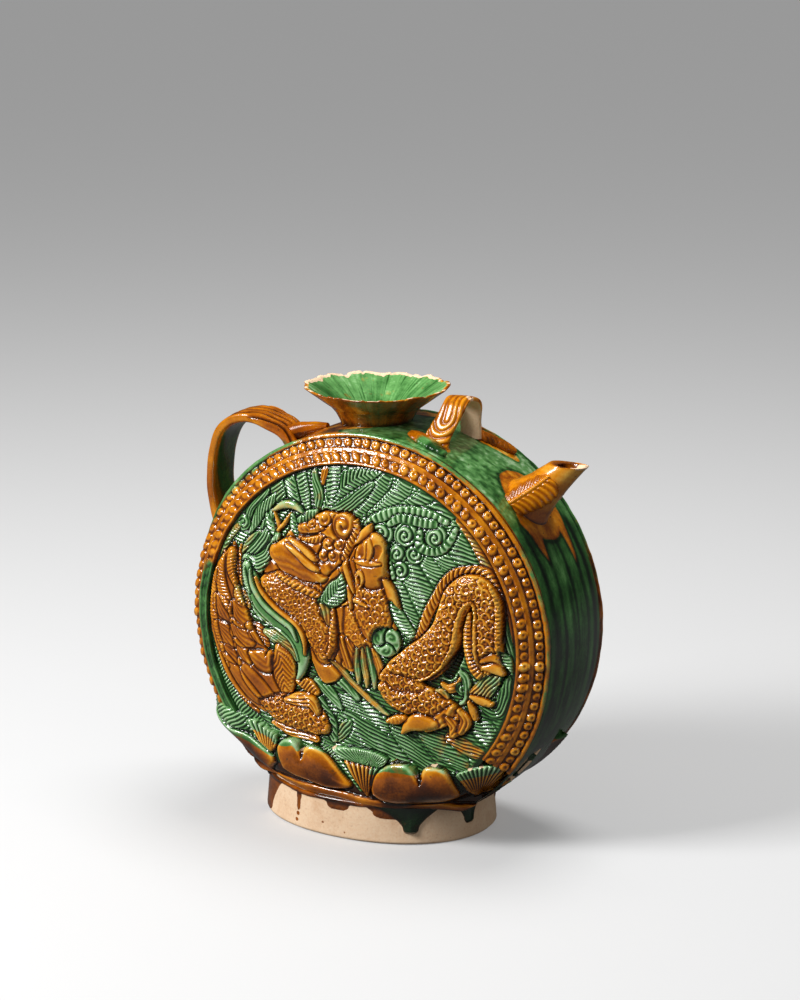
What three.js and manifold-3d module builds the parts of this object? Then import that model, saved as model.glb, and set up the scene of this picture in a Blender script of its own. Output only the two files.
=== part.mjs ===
// Disc-bodied earthenware ewer on an oval foot, built as the potter luted it together.
// Millimetres, +Z up, the disc's axis along Y, the spout towards +X. The origin lies under the
// disc's centre on the plane that the foot stands on.
import * as THREE from "three";
import { mergeVertices } from "three/addons/utils/BufferGeometryUtils.js";
import Module from "manifold-3d";

// Disc body
const bodyRadius = 99;
const bandHalfWidth = 30.2;
const bandCrown = 1.2;
const borderWidth = 13.5;
const borderDepth = 8.5;
const fieldStep = 1.4;
const fieldCrown = 5.5;
const wall = 5.5;

// Beaded border
const lipRise = 1.1;
const beadRise = 1.5;
const beadRadius = 2.1;
const plainBandRise = 0.9;
const beadCount = 116;

// Dragon relief
const reliefRise = 4.6;
const reliefRoot = 2;

// Foot
const footHeight = 20;
const footCentreX = -8;
const footHalfLength = 61;
const footHalfDepth = 46;
const footFlare = 1.7;
const footWall = 7;

// Lotus calyx
const discSink = 15.8;
const calyxStandOff = 6.8;
const calyxSwell = 2.8;
const calyxRimRise = 38;
const petalHalfWidth = 19;
const petalCentreX = 32.5;
const petalTipRise = 24;
const petalNotchDepth = 4.5;
const petalSwell = 2.5;
const tuftHalfWidth = 10;
const tuftTipRise = 23.5;
const sideTuftHalfWidth = 11;
const sideTuftTipRise = 29;
const endPetalTipRise = 34;

// Mouth
const mouthCentreX = -10;
const mouthBaseRadius = 17.5;
const mouthRimRadius = 36;
const mouthHeight = 17.3;
const mouthWall = 3.6;
const throatRadius = 12.5;
const mouthLobes = 11;
const mouthLobeDepth = 1.1;

// Handle, its tongue and the loop
const handleWidth = 22;
const handleThickness = 5.4;
const handleRise = 27.9;
const tongueWidth = 12;
const tongueThickness = 3.6;
const tongueLift = 1;
const loopWidth = 15;
const loopThickness = 3.4;
const loopCentreX = 33;
const loopHalfSpan = 15;
const loopRise = 22.1;

// Spout and leaf sprigs
const spoutAngle = 43;
const spoutBaseRadius = 13.5;
const spoutTipRadius = 6.4;
const spoutBoreRadius = 4.2;
const spoutReach = 30;
const spoutLength = 38;
const spoutLeafLength = 29;
const spoutLeafWidth = 15;
const spoutLeafThickness = 5.5;
const loopLeafLength = 26;
const loopLeafWidth = 10;
const loopLeafThickness = 5;

// Clearances
const slipGap = 0.3;
const overrun = 2;

// Facets
const discSegments = 58;
const hollowSegments = 32;
const calyxSegments = 48;
const roundSegments = 32;
const mouthSegments = 4 * mouthLobes;

// The disc's rim stands a little below the top of the foot, inside the calyx
const bodyCentreHeight = footHeight + bodyRadius - discSink;

const wasm = await Module();
wasm.setup();

// Turns a closed geometry into a solid whose faces point out
function solidOf(geometry) {
  const bare = geometry.index ? geometry.toNonIndexed() : geometry.clone();
  for (const name of Object.keys(bare.attributes)) {
    if (name !== "position") bare.deleteAttribute(name);
  }
  const merged = mergeVertices(bare);
  const place = merged.attributes.position.array;
  const kept = [];
  let sixVolumes = 0;
  for (let i = 0; i < merged.index.count; i += 3) {
    const [a, b, c] = merged.index.array.slice(i, i + 3);
    if (a === b || b === c || c === a) continue;
    kept.push(a, b, c);
    const [p, q, r] = [a, b, c].map((v) => new THREE.Vector3().fromArray(place, 3 * v));
    sixVolumes += p.dot(q.cross(r));
  }
  if (sixVolumes < 0) {
    for (let i = 0; i < kept.length; i += 3) [kept[i], kept[i + 1]] = [kept[i + 1], kept[i]];
  }
  const mesh = new wasm.Mesh({
    numProp: 3,
    vertProperties: Float32Array.from(place),
    triVerts: Uint32Array.from(kept),
  });
  return new wasm.Manifold(mesh);
}

// Turns a solid back into a geometry
function geometryOf(solid) {
  const mesh = solid.getMesh();
  const geometry = new THREE.BufferGeometry();
  geometry.setAttribute("position", new THREE.BufferAttribute(Float32Array.from(mesh.vertProperties), 3));
  geometry.setIndex(Array.from(mesh.triVerts));
  return geometry;
}

// A block between two corners, used to cut
function block(low, high) {
  const geometry = new THREE.BoxGeometry(...high.map((value, i) => value - low[i]));
  geometry.translate(...high.map((value, i) => (value + low[i]) / 2));
  return solidOf(geometry);
}

// The space between two heights, wider than the whole ewer
function slab(lowHeight, highHeight) {
  const far = 2 * bodyRadius;
  return block([-far, -far, lowHeight], [far, far, highHeight]);
}

// A turned form from points of radius and place along its axis
function turned(points, segments) {
  const outline = points.map(([radius, along]) => new THREE.Vector2(radius, along));
  return new THREE.LatheGeometry(outline, segments);
}

// A form turned about the disc's axis, alike on both faces
function turnedDisc(half, segments) {
  const other = half.slice(1).map(([radius, depth]) => [radius, -depth]);
  const geometry = turned([...other.reverse(), ...half], segments);
  geometry.translate(0, 0, bodyCentreHeight);
  return solidOf(geometry);
}

// A point in the disc's own plane by its angle and radius
function discPoint(angle, radius) {
  const turn = THREE.MathUtils.degToRad(angle);
  return [radius * Math.cos(turn), bodyCentreHeight + radius * Math.sin(turn)];
}

// Disc body: side band, sloping border and domed field
const borderSlope = Math.hypot(borderWidth, borderDepth);
const fieldEdgeRadius = bodyRadius - borderWidth - fieldStep / 2;
const fieldEdgeDepth = bandHalfWidth + borderDepth - fieldStep;
const beadRowShare = 0.29;
const innerRowShares = [0.7, 0.82];
const plainBandShares = [0.45, 0.6];
const lipShares = [0.03, 0.1];
const lipFootShare = 0.14;
const fieldRingShares = [1, 0.55, 0];

// A point of the border at a share of its width, raised square to its slope
function borderPoint(share, rise) {
  const radius = bodyRadius - borderWidth * share + (borderDepth / borderSlope) * rise;
  const depth = bandHalfWidth + borderDepth * share + (borderWidth / borderSlope) * rise;
  return [radius, depth];
}

// Depth of the smooth field at a radius
function fieldDepth(radius) {
  return fieldEdgeDepth + fieldCrown * (1 - (radius / fieldEdgeRadius) ** 2);
}

// A ring of points about the disc's axis, the odd ones moved to the second place
function ring(count, [radius, depth], [oddRadius, oddDepth] = [radius, depth]) {
  return Array.from({ length: count }, (_, i) => {
    const turn = (2 * Math.PI * i) / count;
    const [out, along] = i % 2 ? [oddRadius, oddDepth] : [radius, depth];
    return [out * Math.cos(turn), along, out * Math.sin(turn)];
  });
}

// Three rings that make the outer row of beads, pointed and low between the beads
function beadRow(extra) {
  const reachShare = beadRadius / borderSlope;
  const [near, far] = [beadRowShare - reachShare, beadRowShare + reachShare];
  const [valley, crest] = [borderPoint(beadRowShare, extra), borderPoint(beadRowShare, extra + beadRise)];
  return [
    ring(beadCount, borderPoint(near, extra)),
    ring(2 * beadCount, valley, crest),
    ring(beadCount, borderPoint(far, extra)),
  ];
}

// The rings of one face from the middle of the side band to the middle of the field
function faceRings(extra) {
  const plain = (share, rise) => ring(discSegments, borderPoint(share, rise + extra));
  return [
    ring(discSegments, [bodyRadius + bandCrown + extra, 0]),
    ring(discSegments, [bodyRadius - lipRise + extra, bandHalfWidth - lipRise]),
    ...lipShares.map((share) => plain(share, lipRise)),
    plain(lipFootShare, 0),
    ...beadRow(extra),
    ...plainBandShares.map((share) => plain(share, plainBandRise)),
    ...innerRowShares.map((share) => plain(share, beadRise)),
    plain(1, 0),
    ...fieldRingShares.map((share) => {
      const radius = fieldEdgeRadius * share;
      return ring(share > 0 ? discSegments : 1, [radius, fieldDepth(radius) + extra]);
    }),
  ];
}

// A solid from closed rings of points, each joined to the next by the nearest turns
function stitched(rings) {
  const corners = rings.flat();
  const index = [];
  let start = 0;
  for (let k = 0; k + 1 < rings.length; k++) {
    const [count, nextCount] = [rings[k].length, rings[k + 1].length];
    const next = start + count;
    let i = 0;
    let j = 0;
    while (i < count || j < nextCount) {
      const [here, there] = [start + (i % count), next + (j % nextCount)];
      if ((i + 1) * nextCount <= (j + 1) * count) {
        index.push(here, start + (++i % count), there);
      } else {
        index.push(here, next + (++j % nextCount), there);
      }
    }
    start = next;
  }
  const geometry = new THREE.BufferGeometry();
  geometry.setAttribute("position", new THREE.Float32BufferAttribute(corners.flat(), 3));
  geometry.setIndex(index);
  return geometry;
}

// The closed disc, swollen all over by the extra
function disc(extra) {
  const face = faceRings(extra);
  const mirrored = face.slice(1).map((points) => points.map(([x, y, z]) => [x, -y, z]));
  const geometry = stitched([...mirrored.reverse(), ...face]);
  geometry.translate(0, 0, bodyCentreHeight);
  return solidOf(geometry);
}

// Relief of one face: the dragon's main masses as swelling ridges on the field. Each row of a line
// has a place across and up from the middle of the field and a half width.
const ridgeSectionShares = [[-1, -1], [-0.72, 0.62], [0, 1], [0.72, 0.62], [1, -1]];
const dragonLineShares = {
  wing: [
    [-0.82, 0.4, 0.03], [-0.87, 0.2, 0.1], [-0.85, 0.02, 0.15],
    [-0.77, -0.18, 0.18], [-0.65, -0.38, 0.16], [-0.52, -0.5, 0.06],
  ],
  strap: [
    [-0.7, 0.34, 0.03], [-0.65, 0.2, 0.06], [-0.53, 0.08, 0.06],
    [-0.37, 0, 0.06], [-0.32, -0.13, 0.05], [-0.34, -0.27, 0.02],
  ],
  haunch: [[-0.5, -0.12, 0.03], [-0.46, -0.22, 0.08], [-0.45, -0.36, 0.05]],
  thigh: [[-0.62, -0.48, 0.03], [-0.5, -0.5, 0.09], [-0.36, -0.51, 0.11], [-0.2, -0.55, 0.05]],
  mane: [[-0.72, 0.37, 0.03], [-0.58, 0.38, 0.07], [-0.51, 0.53, 0.03]],
  chest: [
    [-0.58, 0.25, 0.05], [-0.42, 0.22, 0.13], [-0.26, 0.12, 0.15],
    [-0.17, -0.01, 0.11], [-0.16, -0.13, 0.05],
  ],
  neck: [[-0.5, 0.45, 0.05], [-0.37, 0.43, 0.11], [-0.2, 0.36, 0.06]],
  head: [[-0.17, 0.66, 0.04], [-0.08, 0.67, 0.07], [-0.08, 0.54, 0.08], [-0.14, 0.41, 0.05]],
  arm: [[0.12, 0.62, 0.05], [0.12, 0.48, 0.1], [0.13, 0.27, 0.13], [0.16, 0.08, 0.08]],
  elbow: [[0.02, 0.2, 0.05], [0.06, 0.03, 0.1], [0.04, -0.13, 0.05]],
  rosette: [[0.17, 0.03, 0.04], [0.25, 0.03, 0.09], [0.33, 0.03, 0.04]],
  back: [
    [0.22, -0.19, 0.04], [0.36, -0.12, 0.1], [0.53, 0.02, 0.11],
    [0.62, 0.2, 0.09], [0.66, 0.34, 0.08], [0.74, 0.38, 0.06],
  ],
  tail: [
    [0.72, 0.39, 0.06], [0.81, 0.34, 0.08], [0.84, 0.18, 0.09],
    [0.85, 0.02, 0.09], [0.88, -0.09, 0.04],
  ],
  belly: [[0.2, -0.25, 0.03], [0.32, -0.3, 0.1], [0.5, -0.32, 0.1], [0.7, -0.38, 0.04]],
  paw: [[0.55, -0.44, 0.04], [0.44, -0.44, 0.06], [0.34, -0.49, 0.03]],
};

// The middle of a ring of points
function centreOf(points) {
  return [0, 1, 2].map((axis) => points.reduce((sum, point) => sum + point[axis], 0) / points.length);
}

// A swelling ridge on a surface that faces the front: sections square to its line of place and half
// width, rooted in the surface and rounded over the top
function ridgeOn(rows, depthAt, rise) {
  const last = rows.length - 1;
  const sections = rows.map(([across, up, half], i) => {
    const [before, after] = [rows[Math.max(i - 1, 0)], rows[Math.min(i + 1, last)]];
    const way = new THREE.Vector2(after[0] - before[0], after[1] - before[1]).normalize();
    return ridgeSectionShares.map(([out, lift]) => {
      const [x, z] = [across - way.y * half * out, up + way.x * half * out];
      return [x, -depthAt(x, z) - lift * (lift > 0 ? rise : reliefRoot), z];
    });
  });
  return stitched([[centreOf(sections[0])], ...sections, [centreOf(sections[last])]]);
}

// The dragon of one face, its ridges kept inside the border, turned about Z to that face
function dragonRelief(turn) {
  const depth = bandHalfWidth + borderDepth + fieldCrown + reliefRise;
  const field = turnedDisc([[fieldEdgeRadius, 0], [fieldEdgeRadius, depth], [0, depth]], discSegments);
  const ridges = Object.values(dragonLineShares).map((line) => {
    const rows = line.map((row) => row.map((share) => share * fieldEdgeRadius));
    const geometry = ridgeOn(rows, (x, z) => fieldDepth(Math.hypot(x, z)), reliefRise);
    geometry.rotateZ(turn);
    geometry.translate(0, 0, bodyCentreHeight);
    return solidOf(geometry);
  });
  return ridges.reduce((all, next) => all.add(next)).intersect(field);
}

// The hollow inside the two shells, flat over the foot
const hollowRingShares = [0.5, 0];

function discHollow() {
  const shoulder = bandHalfWidth + borderDepth / 2 - wall;
  const half = [[bodyRadius - wall, 0], [bodyRadius - wall, bandHalfWidth - wall]];
  half.push([fieldEdgeRadius - wall, shoulder]);
  for (const share of hollowRingShares) {
    const radius = fieldEdgeRadius * share;
    half.push([radius, fieldDepth(radius) - wall]);
  }
  return turnedDisc(half, hollowSegments).intersect(slab(footHeight + wall, 3 * bodyRadius));
}

// Lotus calyx: a bowl of oval sections, trimmed to petals and tufts
const calyxLevelShares = [0, 0.12, 0.25, 0.4, 0.6, 0.8, 1];
const calyxBellyShares = [0.95, 0.985, 1, 1, 0.985, 0.965, 0.94];
const calyxSquareness = [2.3, 2.6, 3, 3.4, 3.8, 4, 4];
const calyxRootShare = 0.33;
const calyxHalfDepth = bandHalfWidth + borderDepth + calyxStandOff;
const sideTuftPlaceShare = 0.636;
const sideTuftCentreX = bodyRadius * sideTuftPlaceShare;

// A solid of oval sections, each with its height, half length, half depth, centre and squareness
function ovalLoft(levels, segments) {
  const last = levels.length - 1;
  const side = levels.map(({ height }) => [1, height]);
  const profile = [[0, levels[0].height], ...side, [0, levels[last].height]];
  const geometry = turned(profile, segments);
  geometry.rotateX(Math.PI / 2);
  const place = geometry.attributes.position;
  for (let i = 0; i < place.count; i++) {
    const level = levels[THREE.MathUtils.clamp((i % profile.length) - 1, 0, last)];
    const [x, y] = [place.getX(i), place.getY(i)];
    const power = level.squareness;
    const spread = (Math.abs(x) ** power + Math.abs(y) ** power) ** (1 / power);
    const grow = spread > 0 ? 1 / spread : 0;
    place.setX(i, level.centreX + x * grow * level.halfLength);
    place.setY(i, y * grow * level.halfDepth);
    place.setZ(i, level.height);
  }
  return solidOf(geometry);
}

// Depth of the calyx at a height, swollen between foot and rim
function calyxDepth(height) {
  const share = THREE.MathUtils.clamp((height - footHeight) / calyxRimRise, 0, 1);
  const next = Math.max(1, calyxLevelShares.findIndex((level) => level >= share));
  const [low, high] = [calyxLevelShares[next - 1], calyxLevelShares[next]];
  const [here, there] = [calyxBellyShares[next - 1], calyxBellyShares[next]];
  return calyxHalfDepth * THREE.MathUtils.mapLinear(share, low, high, here, there);
}

// The calyx as a full bowl, its ends following the disc's rim
function calyxBowl() {
  const levels = calyxLevelShares.map((share, i) => {
    const height = footHeight + calyxRimRise * share;
    return {
      height,
      halfLength: Math.sqrt(bodyRadius ** 2 - (bodyCentreHeight - height) ** 2) + calyxSwell,
      halfDepth: calyxDepth(height),
      centreX: (footCentreX / 2) * (1 - share),
      squareness: calyxSquareness[i],
    };
  });
  return ovalLoft(levels, calyxSegments);
}

// Half outlines from root to tip, as shares of the half width and of the height
const petalOutlineShares = [
  [0.7, 0], [0.93, 0.3], [1, 0.58], [0.95, 0.78], [0.8, 0.93], [0.6, 1], [0.3, 1], [0.1, 0.96],
];
const tuftOutlineShares = [[0.3, 0], [0.62, 0.45], [1, 0.86], [0.9, 0.95], [0.5, 1]];

// A whole outline from its right half, with a point on the middle line at the tip
function mirroredShape(halfShares, halfWidth, height, middle) {
  const right = halfShares.map(([across, up]) => new THREE.Vector2(halfWidth * across, height * up));
  const left = right.map((point) => new THREE.Vector2(-point.x, point.y)).reverse();
  return new THREE.Shape([...right, new THREE.Vector2(0, middle), ...left]);
}

// An outline as an upright prism through the body from front to back
function prismAcross(shape, centreX) {
  const depth = 4 * calyxHalfDepth;
  const geometry = new THREE.ExtrudeGeometry(shape, { depth, bevelEnabled: false });
  geometry.rotateX(Math.PI / 2);
  geometry.translate(centreX, depth / 2, 0);
  return solidOf(geometry);
}

// The end petal's outline as an upright prism from the side tufts outwards
function endPrism(side) {
  const tip = footHeight + endPetalTipRise;
  const shape = mirroredShape(petalOutlineShares, bandHalfWidth, tip, tip - petalNotchDepth);
  const geometry = new THREE.ExtrudeGeometry(shape, { depth: bodyRadius, bevelEnabled: false });
  geometry.rotateX(Math.PI / 2);
  geometry.rotateZ(Math.PI / 2);
  geometry.translate(side > 0 ? sideTuftCentreX : -sideTuftCentreX - bodyRadius, 0, 0);
  return solidOf(geometry);
}

// The swollen body and two lobes of a petal, as shares of its half width and of its height
const petalSwellShares = [
  [[-0.88, 0.4, 0.1], [-0.5, 0.38, 0.32], [0.5, 0.38, 0.32], [0.88, 0.4, 0.1]],
  [[-0.6, 0.3, 0.26], [-0.52, 0.72, 0.34], [-0.45, 0.97, 0.14]],
  [[0.6, 0.3, 0.26], [0.52, 0.72, 0.34], [0.45, 0.97, 0.14]],
];

// The swellings of the two petals of one face, turned about Z to that face
function petalSwellings(turn) {
  const solids = [-petalCentreX, petalCentreX].flatMap((centreX) =>
    petalSwellShares.map((line) => {
      const rows = line.map(([across, up, half]) => [
        centreX + petalHalfWidth * across,
        footHeight + petalTipRise * up,
        petalHalfWidth * half,
      ]);
      const geometry = ridgeOn(rows, (x, z) => calyxDepth(z), petalSwell);
      geometry.rotateZ(turn);
      return solidOf(geometry);
    }),
  );
  return solids.reduce((all, next) => all.add(next));
}

// The bowl trimmed to its petals and tufts over a plain root
function calyx() {
  const rootHeight = footHeight + petalTipRise * calyxRootShare;
  const notch = footHeight + petalTipRise - petalNotchDepth;
  const petal = mirroredShape(petalOutlineShares, petalHalfWidth, footHeight + petalTipRise, notch);
  const tuftTip = footHeight + tuftTipRise;
  const tuft = mirroredShape(tuftOutlineShares, tuftHalfWidth, tuftTip, tuftTip);
  const sideTuftTip = footHeight + sideTuftTipRise;
  const sideTuft = mirroredShape(tuftOutlineShares, sideTuftHalfWidth, sideTuftTip, sideTuftTip);
  let outline = slab(0, rootHeight).add(prismAcross(tuft, 0));
  for (const side of [-1, 1]) {
    outline = outline.add(prismAcross(petal, side * petalCentreX));
    outline = outline.add(prismAcross(sideTuft, side * sideTuftCentreX));
    outline = outline.add(endPrism(side));
  }
  return calyxBowl().intersect(outline);
}

// Spout: a tapering tube whose axis runs out from the disc's centre
const spoutTurn = THREE.MathUtils.degToRad(spoutAngle);
const spoutTaperShares = [[1, 0], [0.74, 0.1], [0.45, 0.25], [0.22, 0.45], [0.08, 0.7], [0, 1]];

// A round solid along the spout's axis from points of radius and distance from the disc's centre
function alongSpout(points) {
  const geometry = turned(points, roundSegments);
  geometry.rotateZ(-Math.PI / 2);
  geometry.rotateY(-spoutTurn);
  geometry.translate(0, 0, bodyCentreHeight);
  return solidOf(geometry);
}

// The spout's outside, swollen by the extra
function spoutOutside(extra) {
  const root = bodyRadius - wall;
  const taper = spoutTaperShares.map(([thick, along]) => [
    spoutTipRadius + (spoutBaseRadius - spoutTipRadius) * thick + extra,
    bodyRadius - overrun + (spoutLength + overrun) * along,
  ]);
  return alongSpout([[0, root], [spoutBaseRadius + extra, root], ...taper, [0, bodyRadius + spoutLength]]);
}

// The spout's bore from the hollow of the body to past the tip
function spoutBore() {
  const low = bodyRadius - 3 * wall;
  const high = bodyRadius + spoutLength + overrun;
  return alongSpout([[0, low], [spoutBoreRadius, low], [spoutBoreRadius, high], [0, high]]);
}

// The spout tube, cut level at its mouth and fitted to the shoulder
const spoutTipHeight = bodyCentreHeight + (bodyRadius + spoutReach) * Math.sin(spoutTurn);

function spoutTube() {
  const aboveTip = slab(spoutTipHeight, 3 * bodyRadius);
  return spoutOutside(0).subtract(spoutBore()).subtract(aboveTip).subtract(disc(slipGap));
}

// Mouth: a flared cup with a foliate rim over a round throat
const mouthSeatHeight = bodyCentreHeight + bodyRadius;
const mouthRimHeight = mouthSeatHeight + mouthHeight;
const mouthOutsideShares = [[0, 0], [0.05, 0.1], [0.23, 0.38], [0.44, 0.56], [0.74, 0.8], [1, 0.97]];
const mouthInsideShares = [[0.98, 1], [0.7, 0.84], [0.4, 0.62], [0.12, 0.36], [0, 0.1]];
const mouthLobeTiltShare = 0.5;

// A form turned about the mouth's upright axis from points of radius and height
function turnedMouth(points, segments) {
  const geometry = turned(points, segments);
  geometry.rotateX(Math.PI / 2);
  return geometry;
}

// The round throat from the hollow of the body to past the rim
function throat() {
  const low = mouthSeatHeight - 4 * wall;
  const high = mouthRimHeight + overrun;
  const outline = [[0, low], [throatRadius, low], [throatRadius, high], [0, high]];
  const geometry = turnedMouth(outline, roundSegments);
  geometry.translate(mouthCentreX, 0, 0);
  return solidOf(geometry);
}

// The flared cup, its rim drawn out into lobes
function mouthCup() {
  const base = mouthSeatHeight - wall;
  const outerFlare = mouthRimRadius - mouthBaseRadius;
  const innerFlare = mouthRimRadius - mouthWall - throatRadius;
  const heightAt = (up) => mouthSeatHeight + mouthHeight * up;
  const outside = mouthOutsideShares.map(([out, up]) => [mouthBaseRadius + outerFlare * out, heightAt(up)]);
  const inside = mouthInsideShares.map(([out, up]) => [throatRadius + innerFlare * out, heightAt(up)]);
  const start = [mouthBaseRadius, base];
  const geometry = turnedMouth([start, ...outside, ...inside, [throatRadius, base], start], mouthSegments);
  const place = geometry.attributes.position;
  for (let i = 0; i < place.count; i++) {
    const [x, y, z] = [place.getX(i), place.getY(i), place.getZ(i)];
    const share = Math.max(0, (z - mouthSeatHeight) / mouthHeight) ** 2;
    const wave = mouthLobeDepth * share * Math.cos(mouthLobes * Math.atan2(y, x));
    const grow = 1 + wave / Math.hypot(x, y);
    place.setXYZ(i, x * grow, y * grow, z + wave * mouthLobeTiltShare);
  }
  geometry.translate(mouthCentreX, 0, 0);
  return solidOf(geometry).subtract(disc(slipGap));
}

// Shells: two press-moulded halves that meet at the middle of the side band
function bodyShell() {
  let body = disc(0).intersect(slab(footHeight, 3 * bodyRadius)).add(calyx());
  for (const turn of [0, Math.PI]) body = body.add(dragonRelief(turn)).add(petalSwellings(turn));
  return body.subtract(discHollow()).subtract(throat()).subtract(spoutBore());
}

// The half of the shell on one side of the seam
function halfShell(shell, side) {
  const far = 2 * bodyRadius;
  const near = slipGap / 2;
  const low = side > 0 ? near : -far;
  const high = side > 0 ? far : -near;
  return shell.intersect(block([-far, low, 0], [far, high, 3 * bodyRadius]));
}

// Foot: an oval ring, open below and above
const footSquareness = 2.1;

function footRing() {
  const level = (height, inset) => ({
    height,
    halfLength: footHalfLength - inset,
    halfDepth: footHalfDepth - inset,
    centreX: footCentreX,
    squareness: footSquareness,
  });
  const outer = [level(0, 0), level(footHeight - slipGap, footFlare)];
  const inner = [level(-overrun, footWall), level(footHeight + overrun, footWall + footFlare)];
  return ovalLoft(outer, calyxSegments).subtract(ovalLoft(inner, calyxSegments));
}

// Straps: flat bars of clay bent along a line in a plane
const strapBevelShare = 0.2;

function bentStrap(path, thickness, width) {
  const curve = new THREE.CatmullRomCurve3(path.map(([u, v]) => new THREE.Vector3(u, v, 0)));
  const steps = Math.ceil(curve.getLength() / thickness) + 2;
  const left = [];
  const right = [];
  for (let i = 0; i <= steps; i++) {
    const at = curve.getPointAt(i / steps);
    const along = curve.getTangentAt(i / steps).multiplyScalar(thickness / 2);
    left.push(new THREE.Vector2(at.x - along.y, at.y + along.x));
    right.push(new THREE.Vector2(at.x + along.y, at.y - along.x));
  }
  const bevel = thickness * strapBevelShare;
  const geometry = new THREE.ExtrudeGeometry(new THREE.Shape([...left, ...right.reverse()]), {
    depth: width - 2 * bevel,
    bevelThickness: bevel,
    bevelSize: bevel,
    bevelOffset: -bevel,
    bevelSegments: 1,
  });
  geometry.translate(0, 0, bevel - width / 2);
  geometry.rotateX(Math.PI / 2);
  return geometry;
}

// Handle: an ear-shaped strap over the disc's side, from its low end to the shoulder, by shares of
// the way round the disc and of its rise over the disc
const handleLowAngle = 161;
const handleHighAngle = 121;
const handlePathShares = [
  [0.118, 0.355], [0.31, 0.706], [0.5025, 0.993], [0.6725, 0.986], [0.81, 0.814], [0.9075, 0.534],
];

function handleStrap(extra) {
  const path = handlePathShares.map(([round, rise]) =>
    discPoint(handleLowAngle + (handleHighAngle - handleLowAngle) * round, bodyRadius + handleRise * rise),
  );
  path.unshift(discPoint(handleLowAngle, bodyRadius - overrun));
  path.push(discPoint(handleHighAngle, bodyRadius - overrun));
  return solidOf(bentStrap(path, handleThickness + 2 * extra, handleWidth + 2 * extra));
}

// Tongue: the tapered end of the handle that lies on the shoulder towards the mouth
const tongueShares = [0, 0.4, 0.75, 1];
const tongueTaperShare = 0.6;
const tongueReachShare = 0.74;

function handleTongue() {
  const mouthAngle = THREE.MathUtils.radToDeg(Math.acos((mouthCentreX - mouthBaseRadius) / bodyRadius));
  const sweep = (handleHighAngle - mouthAngle) * tongueReachShare;
  const path = tongueShares.map((share) =>
    discPoint(handleHighAngle - sweep * share, bodyRadius + tongueThickness / 2 + tongueLift * share ** 3),
  );
  const geometry = bentStrap(path, tongueThickness, tongueWidth);
  const place = geometry.attributes.position;
  const [startX] = path[0];
  const [endX] = path.at(-1);
  for (let i = 0; i < place.count; i++) {
    const share = THREE.MathUtils.clamp((place.getX(i) - startX) / (endX - startX), 0, 1);
    place.setY(i, place.getY(i) * (1 - tongueTaperShare * share ** 2));
  }
  return solidOf(geometry).subtract(disc(slipGap)).subtract(handleStrap(slipGap));
}

// Loop: a small strap that stands over the shoulder from front to back
const loopPathShares = [[-1, 0], [-0.78, 0.45], [-0.45, 0.86], [0, 1], [0.45, 0.88], [0.82, 0.5], [1, 0]];

function loopStrap(extra) {
  const seat = bodyCentreHeight + Math.sqrt(bodyRadius ** 2 - loopCentreX ** 2) - 2 * overrun;
  const rise = loopRise + 2 * overrun - loopThickness / 2;
  const reach = loopHalfSpan - loopThickness / 2;
  const path = loopPathShares.map(([out, up]) => [reach * out, seat + rise * up]);
  const geometry = bentStrap(path, loopThickness + 2 * extra, loopWidth + 2 * extra);
  geometry.rotateZ(Math.PI / 2);
  geometry.translate(loopCentreX, 0, 0);
  return solidOf(geometry);
}

// Sprigs: leaf-shaped pads of clay with one pointed end
const leafSegments = 16;
const leafRings = 7;
const leafTaperShare = 0.35;

function leafPad(length, width, thickness) {
  const geometry = new THREE.SphereGeometry(0.5, leafSegments, leafRings);
  const place = geometry.attributes.position;
  for (let i = 0; i < place.count; i++) {
    const along = 2 * place.getX(i);
    const taper = 1 - leafTaperShare * along;
    place.setXYZ(i, (along / 2) * length, place.getY(i) * thickness, place.getZ(i) * width * taper);
  }
  return geometry;
}

// A leaf on the flank of the spout, its tip on the shoulder
const spoutLeafDropAngle = 11;
const spoutLeafPlaceShare = 0.22;
const spoutLeafTuckShare = 0.86;

function spoutLeaf(side) {
  const geometry = leafPad(spoutLeafLength, spoutLeafWidth, spoutLeafThickness);
  geometry.rotateY(Math.PI - spoutTurn + THREE.MathUtils.degToRad(spoutLeafDropAngle));
  const [x, z] = discPoint(spoutAngle, bodyRadius + spoutLeafLength * spoutLeafPlaceShare);
  geometry.translate(x, side * spoutBaseRadius * spoutLeafTuckShare, z);
  return solidOf(geometry).subtract(spoutOutside(slipGap)).subtract(disc(slipGap));
}

// A leaf on the shoulder beside a leg of the loop
const frontLoopLeafAngle = 73;
const backLoopLeafAngle = 64;

function loopLeaf(side, angle) {
  const geometry = leafPad(loopLeafLength, loopLeafWidth, loopLeafThickness);
  geometry.rotateX(Math.PI / 2);
  if (side < 0) geometry.rotateY(Math.PI);
  geometry.rotateY(Math.PI / 2 - THREE.MathUtils.degToRad(angle));
  const [x, z] = discPoint(angle, bodyRadius + bandCrown);
  geometry.translate(x, side * (loopHalfSpan + loopLeafWidth / 2), z);
  return solidOf(geometry).subtract(disc(slipGap)).subtract(loopStrap(slipGap));
}

// Finishes
const amberGlaze = { color: 0xb8660f, roughness: 0.22, metalness: 0 };
const greenGlaze = { color: 0x1f6b3a, roughness: 0.22, metalness: 0 };
const bareClay = { color: 0xdcb896, roughness: 0.85, metalness: 0 };

// One named mesh of the assembly
function piece(name, solid, finish) {
  const mesh = new THREE.Mesh(geometryOf(solid), new THREE.MeshStandardMaterial(finish));
  mesh.name = name;
  return mesh;
}

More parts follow.
